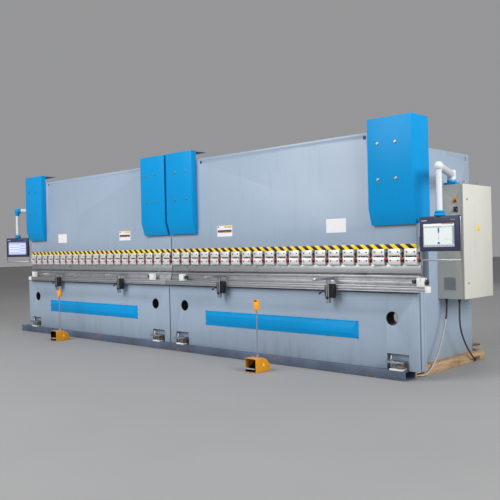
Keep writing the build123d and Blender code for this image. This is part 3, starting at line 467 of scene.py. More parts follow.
def turned(profile, start=(0, 0, 0), way=(0, 0, 1), sides=32, spin=0.0):
    """A turned piece: radius and height pairs, from a filled end to a filled end, set along a way."""
    radius, height = profile[0]
    bpy.ops.mesh.primitive_circle_add(vertices=sides, radius=radius, fill_type="NGON",
                                      location=(0, 0, height))
    obj = settled(bpy.context.active_object)
    bpy.ops.object.mode_set(mode="EDIT")
    bpy.ops.mesh.select_all(action="SELECT")
    bpy.ops.mesh.flip_normals()
    for next_radius, next_height in profile[1:]:
        bpy.ops.mesh.extrude_region_move(
            TRANSFORM_OT_translate={"value": (0, 0, next_height - height)})
        share = next_radius / radius
        bpy.ops.transform.resize(value=(share, share, 1), center_override=(0, 0, next_height))
        radius, height = next_radius, next_height
    bpy.ops.mesh.select_all(action="SELECT")
    bpy.ops.mesh.normals_make_consistent(inside=False)
    bpy.ops.object.mode_set(mode="OBJECT")
    turn = Vector(way).to_track_quat("Z", "Y").to_matrix().to_4x4() @ Matrix.Rotation(spin, 4, "Z")
    return settled(obj, Matrix.Translation(start) @ turn)


def hexagon(radius, height, start, way):
    """A hexagon head with its chamfered crown."""
    return turned([(radius * 0.94, 0), (radius, height * 0.1), (radius, height * 0.75),
                   (radius * 0.88, height)], start, way, 6)


def socket_screw(radius, start, way):
    """A cap screw with its hexagon socket."""
    return turned([(radius, 0), (radius, radius * 0.7), (radius * 0.86, radius * 0.9),
                   (radius * 0.5, radius * 0.9), (radius * 0.46, radius * 0.35)], start, way, 18)


def ball(radius, place):
    """A ball round a place."""
    bpy.ops.mesh.primitive_uv_sphere_add(segments=24, ring_count=14, radius=radius, location=place)
    return settled(bpy.context.active_object)


def tinted(obj, color):
    """Gives every corner of a mesh its own colour, for the printed finishes."""
    layer = obj.data.color_attributes.new(name="tint", type="FLOAT_COLOR", domain="CORNER")
    for corner in layer.data:
        corner.color = color_of(*color)
    return obj


def print_sheet(tiles, matrix, thickness=0.0004):
    """Flat coloured tiles, each (left, low, right, high, level, colour), on a plane that faces -Y."""
    pieces = []
    for left, low, right, high, level, color in tiles:
        bpy.ops.mesh.primitive_plane_add(size=1.0, rotation=(pi / 2, 0, 0),
                                         location=((left + right) / 2, -level * thickness,
                                                   (low + high) / 2))
        tile = bpy.context.active_object
        tile.scale = (right - left, high - low, 1)
        settled(tile)
        pieces.append(tinted(modified(tile, "SOLIDIFY", thickness=thickness, offset=-1.0), color))
    return settled(joined(*pieces), matrix)


def merged(node):
    """A copy of a CAD node as clean faces, to be worked on; the node itself is left alone."""
    obj = bpy.data.objects.new(node + "_work", frame["nodes"][node].data.copy())
    obj.data.materials.clear()
    bpy.context.scene.collection.objects.link(obj)
    only(obj)
    bpy.ops.object.mode_set(mode="EDIT")
    bpy.ops.mesh.select_all(action="SELECT")
    bpy.ops.mesh.remove_doubles(threshold=0.00001)
    bpy.ops.mesh.dissolve_limited(angle_limit=radians(0.6))
    bpy.ops.object.mode_set(mode="OBJECT")
    return obj


def loose(node):
    """The separate solids of a CAD node, each as a work copy."""
    obj = merged(node)
    only(obj)
    bpy.ops.mesh.separate(type="LOOSE")
    return list(bpy.context.selected_objects)


def centre(obj):
    spots = [vertex.co for vertex in obj.data.vertices]
    return sum(spots, Vector()) / len(spots)


def done(obj, name, body, slot, look=None, stands_for=(), smooth=35):
    """Names a finished piece, gives it its finish and body, and hides the nodes it stands for."""
    obj.name = name
    obj.data.name = name
    if smooth:
        only(obj)
        bpy.ops.object.shade_smooth_by_angle(angle=radians(smooth))
    obj.data.materials.clear()
    obj.data.materials.append(finishes[look or slot])
    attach(obj, body)
    if stands_for:
        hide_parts(*stands_for)
    return obj


def refined(node, edge, segments=2, look=None, limit=30):
    """A CAD node with its sharp edges broken, in its own finish."""
    obj = merged(node)
    if edge:
        rounded(obj, edge, segments, limit)
    return done(obj, node + "_finished", body_with[node], slot_of[node], look, [node])


def sizes():
    return bpy.context.scene.brake_sizes


def four_places(offset):
    """The places to both sides of each machine's middle, from the left machine's inner side on."""
    return [side * (machine_middle + way * offset) for side in (-1, 1) for way in (-1, 1)]


def turn_about(place, angle):
    return Matrix.Translation(place) @ Matrix.Rotation(angle, 4, "Z")


# ---- operators: one for each piece or group of like pieces ----
class Step(bpy.types.Operator):
    """Shared by the building steps."""
    bl_idname = "brake.step"
    bl_label = "Building step"
    bl_options = {"REGISTER", "UNDO"}

    def execute(self, context):
        self.build()
        return {"FINISHED"}


class BRAKE_OT_stage(Step):
    """Floor, light and camera"""
    bl_idname = "brake.stage"
    bl_label = "Stage"

    def build(self):
        scene = bpy.context.scene
        bpy.ops.object.select_all(action="DESELECT")
        bpy.ops.mesh.primitive_plane_add(size=120.0, location=(0, 0, -0.0005))
        floor = bpy.context.active_object
        floor.name = "studio_floor"
        material, tree, surface = new_material("studio_floor")
        place = tree.nodes.new("ShaderNodeTexCoord").outputs["Object"]
        shade = blended(tree, cloud(tree, place, 0.6, 3.0), grey(0.30), grey(0.34))
        tree.links.new(shade, surface.inputs["Base Color"])
        surface.inputs["Roughness"].default_value = 0.7
        floor.data.materials.append(material)
        world = bpy.data.worlds.new("studio")
        world.use_nodes = True
        world.node_tree.nodes["Background"].inputs[0].default_value = (0.90, 0.90, 0.92, 1.0)
        world.node_tree.nodes["Background"].inputs[1].default_value = 0.34
        scene.world = world
        scene.view_settings.view_transform = "Standard"
        lamps = (("side_window", (14.0, -1.5, 6.5), (2.0, 0.4, 1.7), 7.0, 1300.0),
                 ("front_softbox", (-2.0, -9.6, 8.0), (0.0, 0.0, 1.2), 8.0, 1240.0),
                 ("rear_softbox", (-6.0, 12.0, 8.0), (0.0, 0.0, 1.0), 10.0, 300.0))
        for name, place, target, size, power in lamps:
            lamp = bpy.data.lights.new(name, "AREA")
            lamp.energy, lamp.size = power, size
            holder = bpy.data.objects.new(name, lamp)
            scene.collection.objects.link(holder)
            holder.location = place
            holder.rotation_euler = (Vector(target) - Vector(place)).to_track_quat("-Z", "Y").to_euler()
        camera = bpy.data.cameras.new("camera")
        camera.lens, camera.sensor_width = 49.57, 36.0
        camera.clip_start, camera.clip_end = 0.1, 300.0
        holder = bpy.data.objects.new("camera", camera)
        scene.collection.objects.link(holder)
        yaw, pitch, roll = radians(43.59), radians(0.19), radians(-1.27)
        ahead = Vector((-sin(yaw) * cos(pitch), cos(yaw) * cos(pitch), -sin(pitch)))
        level = Vector((cos(yaw), sin(yaw), 0))
        above = level.cross(ahead)
        right = level * cos(roll) + above * sin(roll)
        up = above * cos(roll) - level * sin(roll)
        turn = Matrix((right, up, -ahead)).transposed().to_4x4()
        holder.matrix_world = Matrix.Translation((7.6807, -6.4245, 1.4361)) @ turn
        scene.camera = holder


pedal_route = [(3.872, 0.820, 0.780), (3.873, 0.818, 0.640), (3.880, 0.752, 0.500),
               (3.890, 0.664, 0.372), (3.897, 0.574, 0.246), (3.901, 0.470, 0.132),
               (3.903, 0.352, 0.048), (3.896, 0.262, 0.015), (3.850, 0.190, 0.013),
               (3.762, 0.150, 0.013), (3.640, 0.142, 0.015)]
supply_route = [(3.985, 0.908, 0.780), (3.984, 0.906, 0.650), (3.974, 0.924, 0.512),
                (3.960, 1.000, 0.380), (3.945, 1.112, 0.258), (3.930, 1.240, 0.150),
                (3.914, 1.385, 0.052), (3.888, 1.500, 0.012), (3.842, 1.560, 0.011),
                (3.762, 1.592, 0.012), (3.660, 1.588, 0.010), (3.540, 1.556, 0.011),
                (3.410, 1.490, 0.010), (3.280, 1.410, 0.012), (3.140, 1.362, 0.018),
                (3.000, 1.350, 0.029)]


def route_curve(name, points, thickness=0.0):
    """One smooth spline with the route's points as its control points."""
    curve = bpy.data.curves.new(name, "CURVE")
    curve.dimensions = "3D"
    curve.resolution_u = 12
    curve.bevel_depth, curve.bevel_resolution = thickness / 2, 5
    curve.use_fill_caps = thickness > 0
    spline = curve.splines.new("NURBS")
    spline.points.add(len(points) - 1)
    for point, place in zip(spline.points, points):
        point.co = (*place, 1.0)
    spline.order_u = 3
    spline.use_endpoint_u = True
    obj = bpy.data.objects.new(name, curve)
    bpy.context.scene.collection.objects.link(obj)
    return obj


def wrapped_tube(points, diameter):
    """A tube in spiral wrap below a smooth black sleeve: the band's edge climbs round the lead."""
    sides, step, pitch, sleeve = 14, 0.003, 0.013, 0.21
    spots, travelled = [(points[0], 0.0)], 0.0
    for before, after in zip(points, points[1:]):
        run = (after - before).length
        count = max(1, round(run / step))
        for i in range(1, count + 1):
            spots.append((before.lerp(after, i / count), travelled + run * i / count))
        travelled += run
    verts, shades = [], []
    side = Vector((1, 0, 0))
    for i, (spot, along) in enumerate(spots):
        ahead = (spots[min(i + 1, len(spots) - 1)][0] - spots[max(i - 1, 0)][0]).normalized()
        side = (side - ahead * side.dot(ahead)).normalized()
        other = ahead.cross(side)
        for k in range(sides):
            angle = 2 * pi * k / sides
            phase = (along / pitch - k / sides) % 1.0
            groove = 0.0 if along < sleeve else (0.0016 if phase < 0.24 else 0.0)
            radius = diameter / 2 - groove - (0.0 if along < sleeve else 0.0002)
            verts.append(spot + (side * cos(angle) + other * sin(angle)) * radius)
            shades.append((40, 40, 42) if along < sleeve or groove else (196, 194, 188))
    faces = [(i * sides + k, i * sides + (k + 1) % sides, (i + 1) * sides + (k + 1) % sides,
              (i + 1) * sides + k) for i in range(len(spots) - 1) for k in range(sides)]
    faces.append(tuple(range(sides - 1, -1, -1)))
    faces.append(tuple((len(spots) - 1) * sides + k for k in range(sides)))
    mesh = bpy.data.meshes.new("pedal_lead")
    mesh.from_pydata(verts, [], faces)
    layer = mesh.color_attributes.new(name="tint", type="FLOAT_COLOR", domain="CORNER")
    for loop in mesh.loops:
        layer.data[loop.index].color = color_of(*shades[loop.vertex_index])
    obj = bpy.data.objects.new("pedal_lead", mesh)
    bpy.context.scene.collection.objects.link(obj)
    return obj


class BRAKE_OT_cords(Step):
    """Pedal lead in its spiral wrap, supply lead, plug and strain reliefs"""
    bl_idname = "brake.cords"
    bl_label = "Cords"

    def build(self):
        guide = route_curve("pedal_guide", pedal_route)
        spots = [vertex.co.copy() for vertex in
                 bpy.data.meshes.new_from_object(guide.evaluated_get(
                     bpy.context.evaluated_depsgraph_get())).vertices]
        bpy.data.objects.remove(guide)
        lead = done(wrapped_tube(spots, 0.020), "pedal_lead", "frame", "cable_wrap", None,
                    ["pedal_cable"], 40)
        end, last = Vector(supply_route[-1]), Vector(supply_route[-2])
        way = (end - last).normalized()
        way.z = 0
        way.normalize()
        ribs = turned([(0.0105, -0.030), (0.0135, -0.024), (0.0120, -0.020), (0.0150, -0.012),
                       (0.0135, -0.008), (0.0172, 0.000), (0.0182, 0.004), (0.0182, 0.010),
                       (0.0172, 0.012)], end, way, 28)
        rings = [turned([(0.0270, 0), (0.0284, 0.001), (0.0284, 0.011), (0.0270, 0.012)],
                        end + way * along, way, 32) for along in (0.044, 0.120)]
        details = done(joined(ribs, *rings), "supply_plug_rings", "frame", "black_plastic")
        plug = frame["nodes"]["supply_plug"]
        only(plug)
        plug.modifiers.new("Edge", "BEVEL").width = 0.003
        plug.data.materials.clear()
        plug.data.materials.append(finishes["red_plastic"])
        supply = route_curve("supply_lead", supply_route, 0.018)
        supply.data.materials.append(finishes["cable_rubber"])
        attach(supply, "frame")
        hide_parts("supply_cable")
        reliefs = []
        for place, diameter in ((pedal_route[0], 0.020), (supply_route[0], 0.018)):
            r = diameter / 2
            reliefs.append(turned([(r + 0.0035, 0), (r + 0.008, 0.002), (r + 0.008, 0.011),
                                   (r + 0.006, 0.013), (r + 0.006, 0.024)], place, (0, 0, 1), 6))
            boot = [(r + 0.0006, 0), (r + 0.0022, 0.010), (r + 0.0036, 0.028), (r + 0.0046, 0.036)]
            reliefs.append(turned(boot, Vector(place) - Vector((0, 0, 0.036)), (0, 0, 1)))
        done(joined(*reliefs), "strain_reliefs", "frame", "black_plastic")


class BRAKE_OT_frames(Step):
    """Side frames, beds, ties, the skid, and black tubes of painted shade in the lifting holes"""
    bl_idname = "brake.frames"
    bl_label = "Frames and beds"

    def build(self):
        edge = sizes().plate_edge
        for node in ("side_frames", "cross_beams", "bed_front_plates", "bed_cores"):
            refined(node, edge)
        refined("skid_beams", 0.006, 3)
        refined("skid_timbers", 0.004, 2)
        refined("oil_tanks", edge)
        front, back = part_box("bed_front_plates")[0].y + 0.0005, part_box("bed_cores")[1].y - 0.0005
        hole_offset, hole_z, outer, inner = 1.684, 0.646, 0.0748, 0.0718
        # painted shade: black tubes line the lifting holes so that they look dark inside
        hole_shade_tubes = []
        for x in four_places(hole_offset):
            start, deep = (x, front, hole_z), back - front
            sleeve = turned([(outer, 0), (outer, deep)], start, (0, 1, 0), 48)
            bore = turned([(inner, -0.01), (inner, deep + 0.01)], start, (0, 1, 0), 48)
            hole_shade_tubes.append(cut(sleeve, bore))
        done(joined(*hole_shade_tubes), "lifting_hole_shade_tubes", "frame", "black_plastic")


class BRAKE_OT_trim(Step):
    """Pressed blue panels on the beds, with their screws"""
    bl_idname = "brake.trim"
    bl_label = "Trim panels"

    def build(self):
        refined("bed_trim_panels", 0.0025, 3)
        low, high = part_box("bed_trim_panels")
        rim_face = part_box("bed_front_plates")[0].y - 0.005
        inner_end, inset, rim_middle = 0.772, 0.012, 0.0075
        places = []
        for start, stop in ((low.x + inset, -inner_end), (inner_end, high.x - inset)):
            for z in (low.z + rim_middle, high.z - rim_middle):
                places += [(start + (stop - start) * i / 6, rim_face, z) for i in range(7)]
        screw = socket_screw(0.0055, (0, 0, 0), (0, -1, 0))
        done(row(screw, places), "trim_screws", "frame", "dark_steel")


class BRAKE_OT_rams(Step):
    """Rams with their striped tape, punches and piston rods"""
    bl_idname = "brake.rams"
    bl_label = "Rams"

    def build(self):
        for side in ("left", "right"):
            body = side + "_ram_unit"
            refined(side + "_ram", sizes().plate_edge)
            refined(side + "_punch", sizes().tool_edge, look="tool_steel")
            refined(side + "_piston_rods", 0.002)
            low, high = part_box(side + "_ram")
            tape = plate((low.x + 0.001, low.y - 0.0012, low.z),
                         (high.x - 0.001, low.y + 0.0005, low.z + sizes().tape_height), 0.0004)
            done(tape, side + "_striped_tape", body, "machine_paint", "striped_tape")


class BRAKE_OT_clamps(Step):
    """Forty quick clamps: base, slotted front plate with a dark sheet of painted shade in its slot, screws and red
    lever
    """
    bl_idname = "brake.clamps"
    bl_label = "Quick clamps"

    def build(self):
        low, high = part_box("right_clamps")
        front, bottom, top = low.y, low.z, high.z
        tang_front, tang_back, back = front + 0.036, front + 0.060, high.y
        pitch = sizes().clamp_pitch
        face = stock((-0.0745, front, bottom), (0.0745, tang_front, top))
        bpy.ops.object.mode_set(mode="EDIT")
        bpy.ops.mesh.select_all(action="SELECT")
        bpy.ops.mesh.bisect(plane_co=(0, 0, top - 0.06), plane_no=(0, 0, 1))
        bpy.ops.object.mode_set(mode="OBJECT")
        for item in (*face.data.edges, *face.data.vertices):
            item.select = False
        bpy.context.tool_settings.mesh_select_mode = (False, False, True)
        for polygon in face.data.polygons:
            polygon.select = polygon.center.y > tang_front - 0.001 and polygon.center.z > top - 0.06
        bpy.ops.object.mode_set(mode="EDIT")
        bpy.ops.mesh.extrude_region_move(
            TRANSFORM_OT_translate={"value": (0, tang_back - tang_front, 0)})
        bpy.ops.object.mode_set(mode="OBJECT")
        slot_z = bottom + 0.093
        slot = rounded(stock((-0.0705, front - 0.01, slot_z - 0.0128),
                             (0.0705, front + 0.012, slot_z + 0.0128)), 0.0127, 5)
        toe = stock((-0.09, front - 0.006, bottom - 0.006), (0.09, front + 0.006, bottom + 0.006))
        settled(toe, Matrix.Translation((0, front, bottom)) @ Matrix.Rotation(pi / 4, 4, "X")
                @ Matrix.Translation((0, -front, -bottom)))
        face = rounded(cut(face, slot, toe), 0.0012, 2)
        base = plate((-0.097, tang_back, bottom), (0.097, back, top), 0.0015)
        module = joined(face, base)
        # painted shade: a dark sheet at the bottom of the slot stands in for the shade inside it
        slot_shade_sheet = plate((-0.0685, front + 0.0105, slot_z - 0.0118),
                              (0.0685, front + 0.0125, slot_z + 0.0118), 0.0005)
        screws = [socket_screw(0.0075, (x, front + 0.0005, z), (0, -1, 0))
                  for x in (-0.0465, 0.0465) for z in (bottom + 0.049, bottom + 0.142)]
        stem = turned([(0.005, 0), (0.005, 0.052), (0.008, 0.054), (0.008, 0.066), (0.006, 0.068)],
                      (0.097, front + 0.012, bottom + 0.074), (0, 0, 1), 12)
        heel = plate((0.086, front + 0.004, bottom + 0.030), (0.106, front + 0.024, bottom + 0.056),
                     0.002)
        arm = plate((0.074, front + 0.012, bottom + 0.118), (0.126, front + 0.024, bottom + 0.128),
                    0.002)
        dark = joined(slot_shade_sheet, stem, heel, arm, *screws)
        studs = joined(*[turned([(0.007, 0), (0.007, 0.006), (0.0055, 0.0072)],
                                (x, front + 0.0105, slot_z), (0, -1, 0), 16) for x in (-0.036, 0.036)])
        grip = plate((0.079, front - 0.010, bottom + 0.056), (0.114, front + 0.022, bottom + 0.077),
                     0.005, 3)
        for side in ("left", "right"):
            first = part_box(side + "_clamps")[0].x + 0.097
            spots = [(first + i * pitch, 0, 0) for i in range(20)]
            body = side + "_ram_unit"
            for pattern, name, slot_name, look, nodes in (
                    (module, "clamp_row", "clamp_steel", None, [side + "_clamps"]),
                    # this dark row also holds the painted-shade sheets at the bottom of the slots
                    (dark, "clamp_screws_and_slot_shade", "dark_steel", None, ()),
                    (studs, "clamp_studs", "steel", None, ()),
                    (grip, "clamp_levers", "red_plastic", None, ())):
                part = row(duplicate(pattern, Matrix.Identity(4)), spots)
                done(part, side + "_" + name, body, slot_name, look, nodes)
        for pattern in (module, dark, studs, grip):
            bpy.data.objects.remove(pattern)


class BRAKE_OT_tooling(Step):
    """Crowning tables, lower dies and their fixing screws"""
    bl_idname = "brake.tooling"
    bl_label = "Tables and dies"

    def build(self):
        refined("crowning_tables", sizes().tool_edge, look="tool_steel")
        refined("lower_dies", sizes().tool_edge, look="tool_steel")
        low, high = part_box("crowning_tables")
        screw = socket_screw(0.009, (0, 0, 0), (0, -1, 0))
        half = (high.x - low.x) / 2
        places = [(side * (0.11 + i * 0.2), low.y + 0.0005, low.z + 0.05) for side in (-1, 1)
                  for i in range(20)]
        done(row(screw, [p for p in places if abs(p[0]) < half - 0.02]), "table_screws", "frame",
             "dark_steel")
        die_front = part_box("lower_dies")[0].y
        grub = turned([(0.006, 0), (0.006, 0.0025), (0.0035, 0.0026), (0.003, 0.0005)], (0, 0, 0),
                      (0, -1, 0), 12)
        done(row(grub, [(side * (0.21 + i * 0.4), die_front + 0.0005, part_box("lower_dies")[0].z + 0.007)
                        for side in (-1, 1) for i in range(10)]), "die_grub_screws", "frame", "steel")


class BRAKE_OT_covers(Step):
    """Folded cylinder covers with their bolts"""
    bl_idname = "brake.covers"
    bl_label = "Cylinder covers"

    def build(self):
        refined("cylinder_covers", sizes().sheet_edge * 0.4, 3)
        low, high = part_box("cylinder_covers")
        washer = turned([(0.017, 0), (0.017, 0.0025), (0.015, 0.003)], (0, 0, 0), (0, -1, 0), 24)
        head = hexagon(0.012, 0.009, (0, -0.003, 0), (0, -1, 0))
        bolt = joined(washer, head)
        near, far, inner_edge, width = 0.128, 0.350, 0.571, 0.549
        lefts = [low.x + near, low.x + far, near - inner_edge, far - inner_edge, inner_edge - near,
                 inner_edge - far, high.x - width + near, high.x - width + far]
        places = [(x, low.y, z) for x in lefts for z in (high.z - 0.278, high.z - 0.666)]
        done(row(bolt, places), "cover_bolts", "frame", "steel", "bolt_zinc")


class BRAKE_OT_hydraulics(Step):
    """Cylinders, pipes, motors with pumps, valve blocks"""
    bl_idname = "brake.hydraulics"
    bl_label = "Hydraulics"

    def build(self):
        refined("hydraulic_cylinders", 0.003, 2)
        refined("oil_pipes", 0.0)
        tank_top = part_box("oil_tanks")[1].z
        y, axis_z, length_m = 0.440, tank_top + 0.125, 0.380
        start = (-length_m, y, axis_z)
        core = turned([(0.070, 0), (0.094, 0.006), (0.094, 0.070), (0.088, 0.074), (0.088, 0.340),
                       (0.098, 0.346), (0.098, 0.372), (0.060, 0.380)], start, (1, 0, 0), 40)
        fins = 28
        fin = plate((-0.305, y - 0.0015, axis_z + 0.080), (-0.045, y + 0.0015, axis_z + 0.103),
                    0.0006, 1)
        spokes = [duplicate(fin, Matrix.Translation((0, y, axis_z))
                            @ Matrix.Rotation(2 * pi * k / fins, 4, "X")
                            @ Matrix.Translation((0, -y, -axis_z))) for k in range(fins)]
        bpy.data.objects.remove(fin)
        feet = [plate((x - 0.02, y - 0.090, tank_top), (x + 0.02, y + 0.090, axis_z - 0.07), 0.003)
                for x in (-0.25, -0.11)]
        terminal = plate((-0.24, y - 0.105, axis_z - 0.035), (-0.13, y - 0.085, axis_z + 0.035),
                         0.004, 3)
        pump = turned([(0.045, 0), (0.064, 0.002), (0.064, 0.018), (0.050, 0.022), (0.050, 0.110),
                       (0.063, 0.114), (0.063, 0.140), (0.045, 0.170)], (0, y, axis_z), (1, 0, 0), 32)
        motor = joined(core, *spokes, *feet, terminal)
        block = plate((0.230, 0.260, tank_top), (0.430, y + 0.090, tank_top + 0.120), 0.003)
        coils = [turned([(0.019, 0), (0.021, 0.002), (0.021, 0.050), (0.016, 0.056)],
                        (0.250 + 0.047 * i, 0.53, tank_top + 0.060), (0, 1, 0), 20) for i in range(4)]
        coils += [hexagon(0.010, 0.008, (0.265 + 0.065 * i, 0.40, tank_top + 0.120), (0, 0, 1))
                  for i in range(3)]
        cap = turned([(0.028, 0), (0.030, 0.012), (0.038, 0.014), (0.038, 0.040), (0.032, 0.045)],
                     (0.620, 0.300, tank_top), (0, 0, 1), 16)
        machines = [(-machine_middle, 0, 0), (machine_middle, 0, 0)]
        done(row(motor, machines), "pump_motor_bodies", "frame", "motor_paint", None, ["pump_motors"])
        done(row(joined(pump, cap), machines), "pumps_and_fillers", "frame", "steel", "rusty_steel")
        done(row(block, machines), "valve_blocks", "frame", "steel")
        done(row(joined(*coils), machines), "valve_coils", "frame", "black_plastic")


class BRAKE_OT_rails(Step):
    """Slotted front rails, end blocks with star knobs, levers and wheels"""
    bl_idname = "brake.rails"
    bl_label = "Front rails"

    def build(self):
        refined("front_rails", sizes().tool_edge)
        rail_low, rail_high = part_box("front_rails")
        rail_top = rail_high.z
        front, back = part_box("rail_end_blocks")[0].y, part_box("rail_end_blocks")[1].y
        blocks, knobs, levers, hubs = [], [], [], []
        middle_y, z, half = (front + back) / 2, rail_top + 0.048, 0.043
        for x, way in ((-3.743, 1), (4.075, 1), (-0.335, 1), (0.335, -1)):
            body = stock((x - half, front, rail_top), (x + half, back, rail_top + 0.090))
            groove = stock((x - 0.006, front - 0.01, rail_top + 0.058),
                           (x + 0.006, back + 0.01, rail_top + 0.1))
            blocks.append(rounded(cut(body, groove), 0.002))
            knobs.append(self.star(Vector((x - way * 0.059, middle_y, z)), -way))
            hubs.append(turned([(0.009, 0), (0.009, 0.054), (0.006, 0.056)],
                               (x - way * half, middle_y, z), (-way, 0, 0), 16))
        outer = 4.118  # the outer face of the right end block
        levers.append(plate((outer, middle_y - 0.006, z - 0.040),
                            (outer + 0.008, middle_y + 0.006, z + 0.036), 0.002))
        levers.append(turned([(0.004, 0), (0.004, 0.018), (0.006, 0.020)],
                             (outer, middle_y, z - 0.032), (1, 0, 0), 12))
        knobs.append(turned([(0.010, 0), (0.024, 0.003), (0.028, 0.008), (0.028, 0.018),
                             (0.022, 0.024), (0.010, 0.026)],
                            (outer + 0.008, middle_y, z - 0.006), (1, 0, 0), 28))
        for low_x, high_x in ((rail_low.x - 0.002, rail_low.x + 0.090),
                              (rail_high.x - 0.034, rail_high.x + 0.002)):
            blocks.append(plate((low_x, front - 0.001, rail_low.z - 0.001),
                                (high_x, back + 0.001, rail_top + 0.001), 0.003))
        done(joined(*blocks), "end_blocks", "frame", "white_block", None, ["rail_end_blocks"])
        done(joined(*knobs), "end_block_knobs", "frame", "black_plastic")
        done(joined(*levers, *hubs), "end_block_levers", "frame", "steel")

    def star(self, place, way):
        """A star knob with seven lobes."""
        lobes = 7
        knob = turned([(0.019, 0), (0.022, 0.004), (0.022, 0.036), (0.018, 0.045), (0.010, 0.048)],
                      (0, 0, 0), (0, 0, 1), lobes * 6)
        for vertex in knob.data.vertices:
            wave = 1.0 - 0.14 * (0.5 - 0.5 * cos(lobes * atan2(vertex.co.y, vertex.co.x)))
            vertex.co.x *= wave
            vertex.co.y *= wave
        turn = Vector((way, 0, 0)).to_track_quat("Z", "Y").to_matrix().to_4x4()
        return settled(knob, Matrix.Translation(place) @ turn)


class BRAKE_OT_supports(Step):
    """Four sliding sheet supports with clamping handles"""
    bl_idname = "brake.supports"
    bl_label = "Sheet supports"

    def build(self):
        for i in range(1, 5):
            refined(f"support_{i}_carriage", 0.002)
            refined(f"support_{i}_post", 0.0015, look="post_steel")
            low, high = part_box(f"support_{i}_carriage")
            grip = turned([(0.006, 0), (0.010, 0.006), (0.012, 0.022), (0.008, 0.032)],
                          (low.x + 0.004, low.y + 0.010, low.z + 0.060), (-0.5, -0.2, -0.4), 20)
            heads = [socket_screw(0.009, (high.x - 0.035, low.y + 0.0005, z), (0, -1, 0))
                     for z in (low.z + 0.035, high.z - 0.035)]
            done(joined(grip, *heads), f"support_{i}_handle", f"support_{i}", "black_plastic")
            post_low, post_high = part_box(f"support_{i}_post")
            knob = turned([(0.008, 0), (0.014, 0.004), (0.014, 0.014), (0.010, 0.018)],
                          ((post_low.x + post_high.x) / 2, -0.1665, post_low.z + 0.062), (0, -1, 0), 20)
            done(knob, f"support_{i}_stop", f"support_{i}_height", "black_plastic")


class BRAKE_OT_feet(Step):
    """Levelling feet: white plates, rusty risers, steel straps, bolts and nuts"""
    bl_idname = "brake.feet"
    bl_label = "Levelling feet"

    def build(self):
        plates, risers, straps = [], [], []
        rear_from, plates_below, risers_below = 1.0, 0.115, 0.160
        for part in loose("levelling_feet"):
            spot = centre(part)
            rounded(part, 0.0015)
            if spot.y > rear_from or plates_below <= spot.z < risers_below:
                risers.append(part)
            elif spot.z < plates_below:
                plates.append(part)
            else:
                straps.append(part)
        nuts = []
        for x in four_places(1.745):
            place = Vector((x - 0.075, -0.0675, 0))
            for z in (0.166, 0.201):
                nuts.append(hexagon(0.020, 0.013, place + Vector((0, 0, z)), (0, 0, 1)))
            nuts.append(turned([(0.026, 0), (0.026, 0.003), (0.024, 0.0035)],
                               place + Vector((0, 0, 0.2)), (0, 0, 1), 24))
        done(joined(*plates), "foot_plates", "frame", "white_block", None, ["levelling_feet"])
        done(joined(*risers), "foot_risers", "frame", "steel", "rusty_steel")
        done(joined(*straps, *nuts), "foot_straps", "frame", "steel")


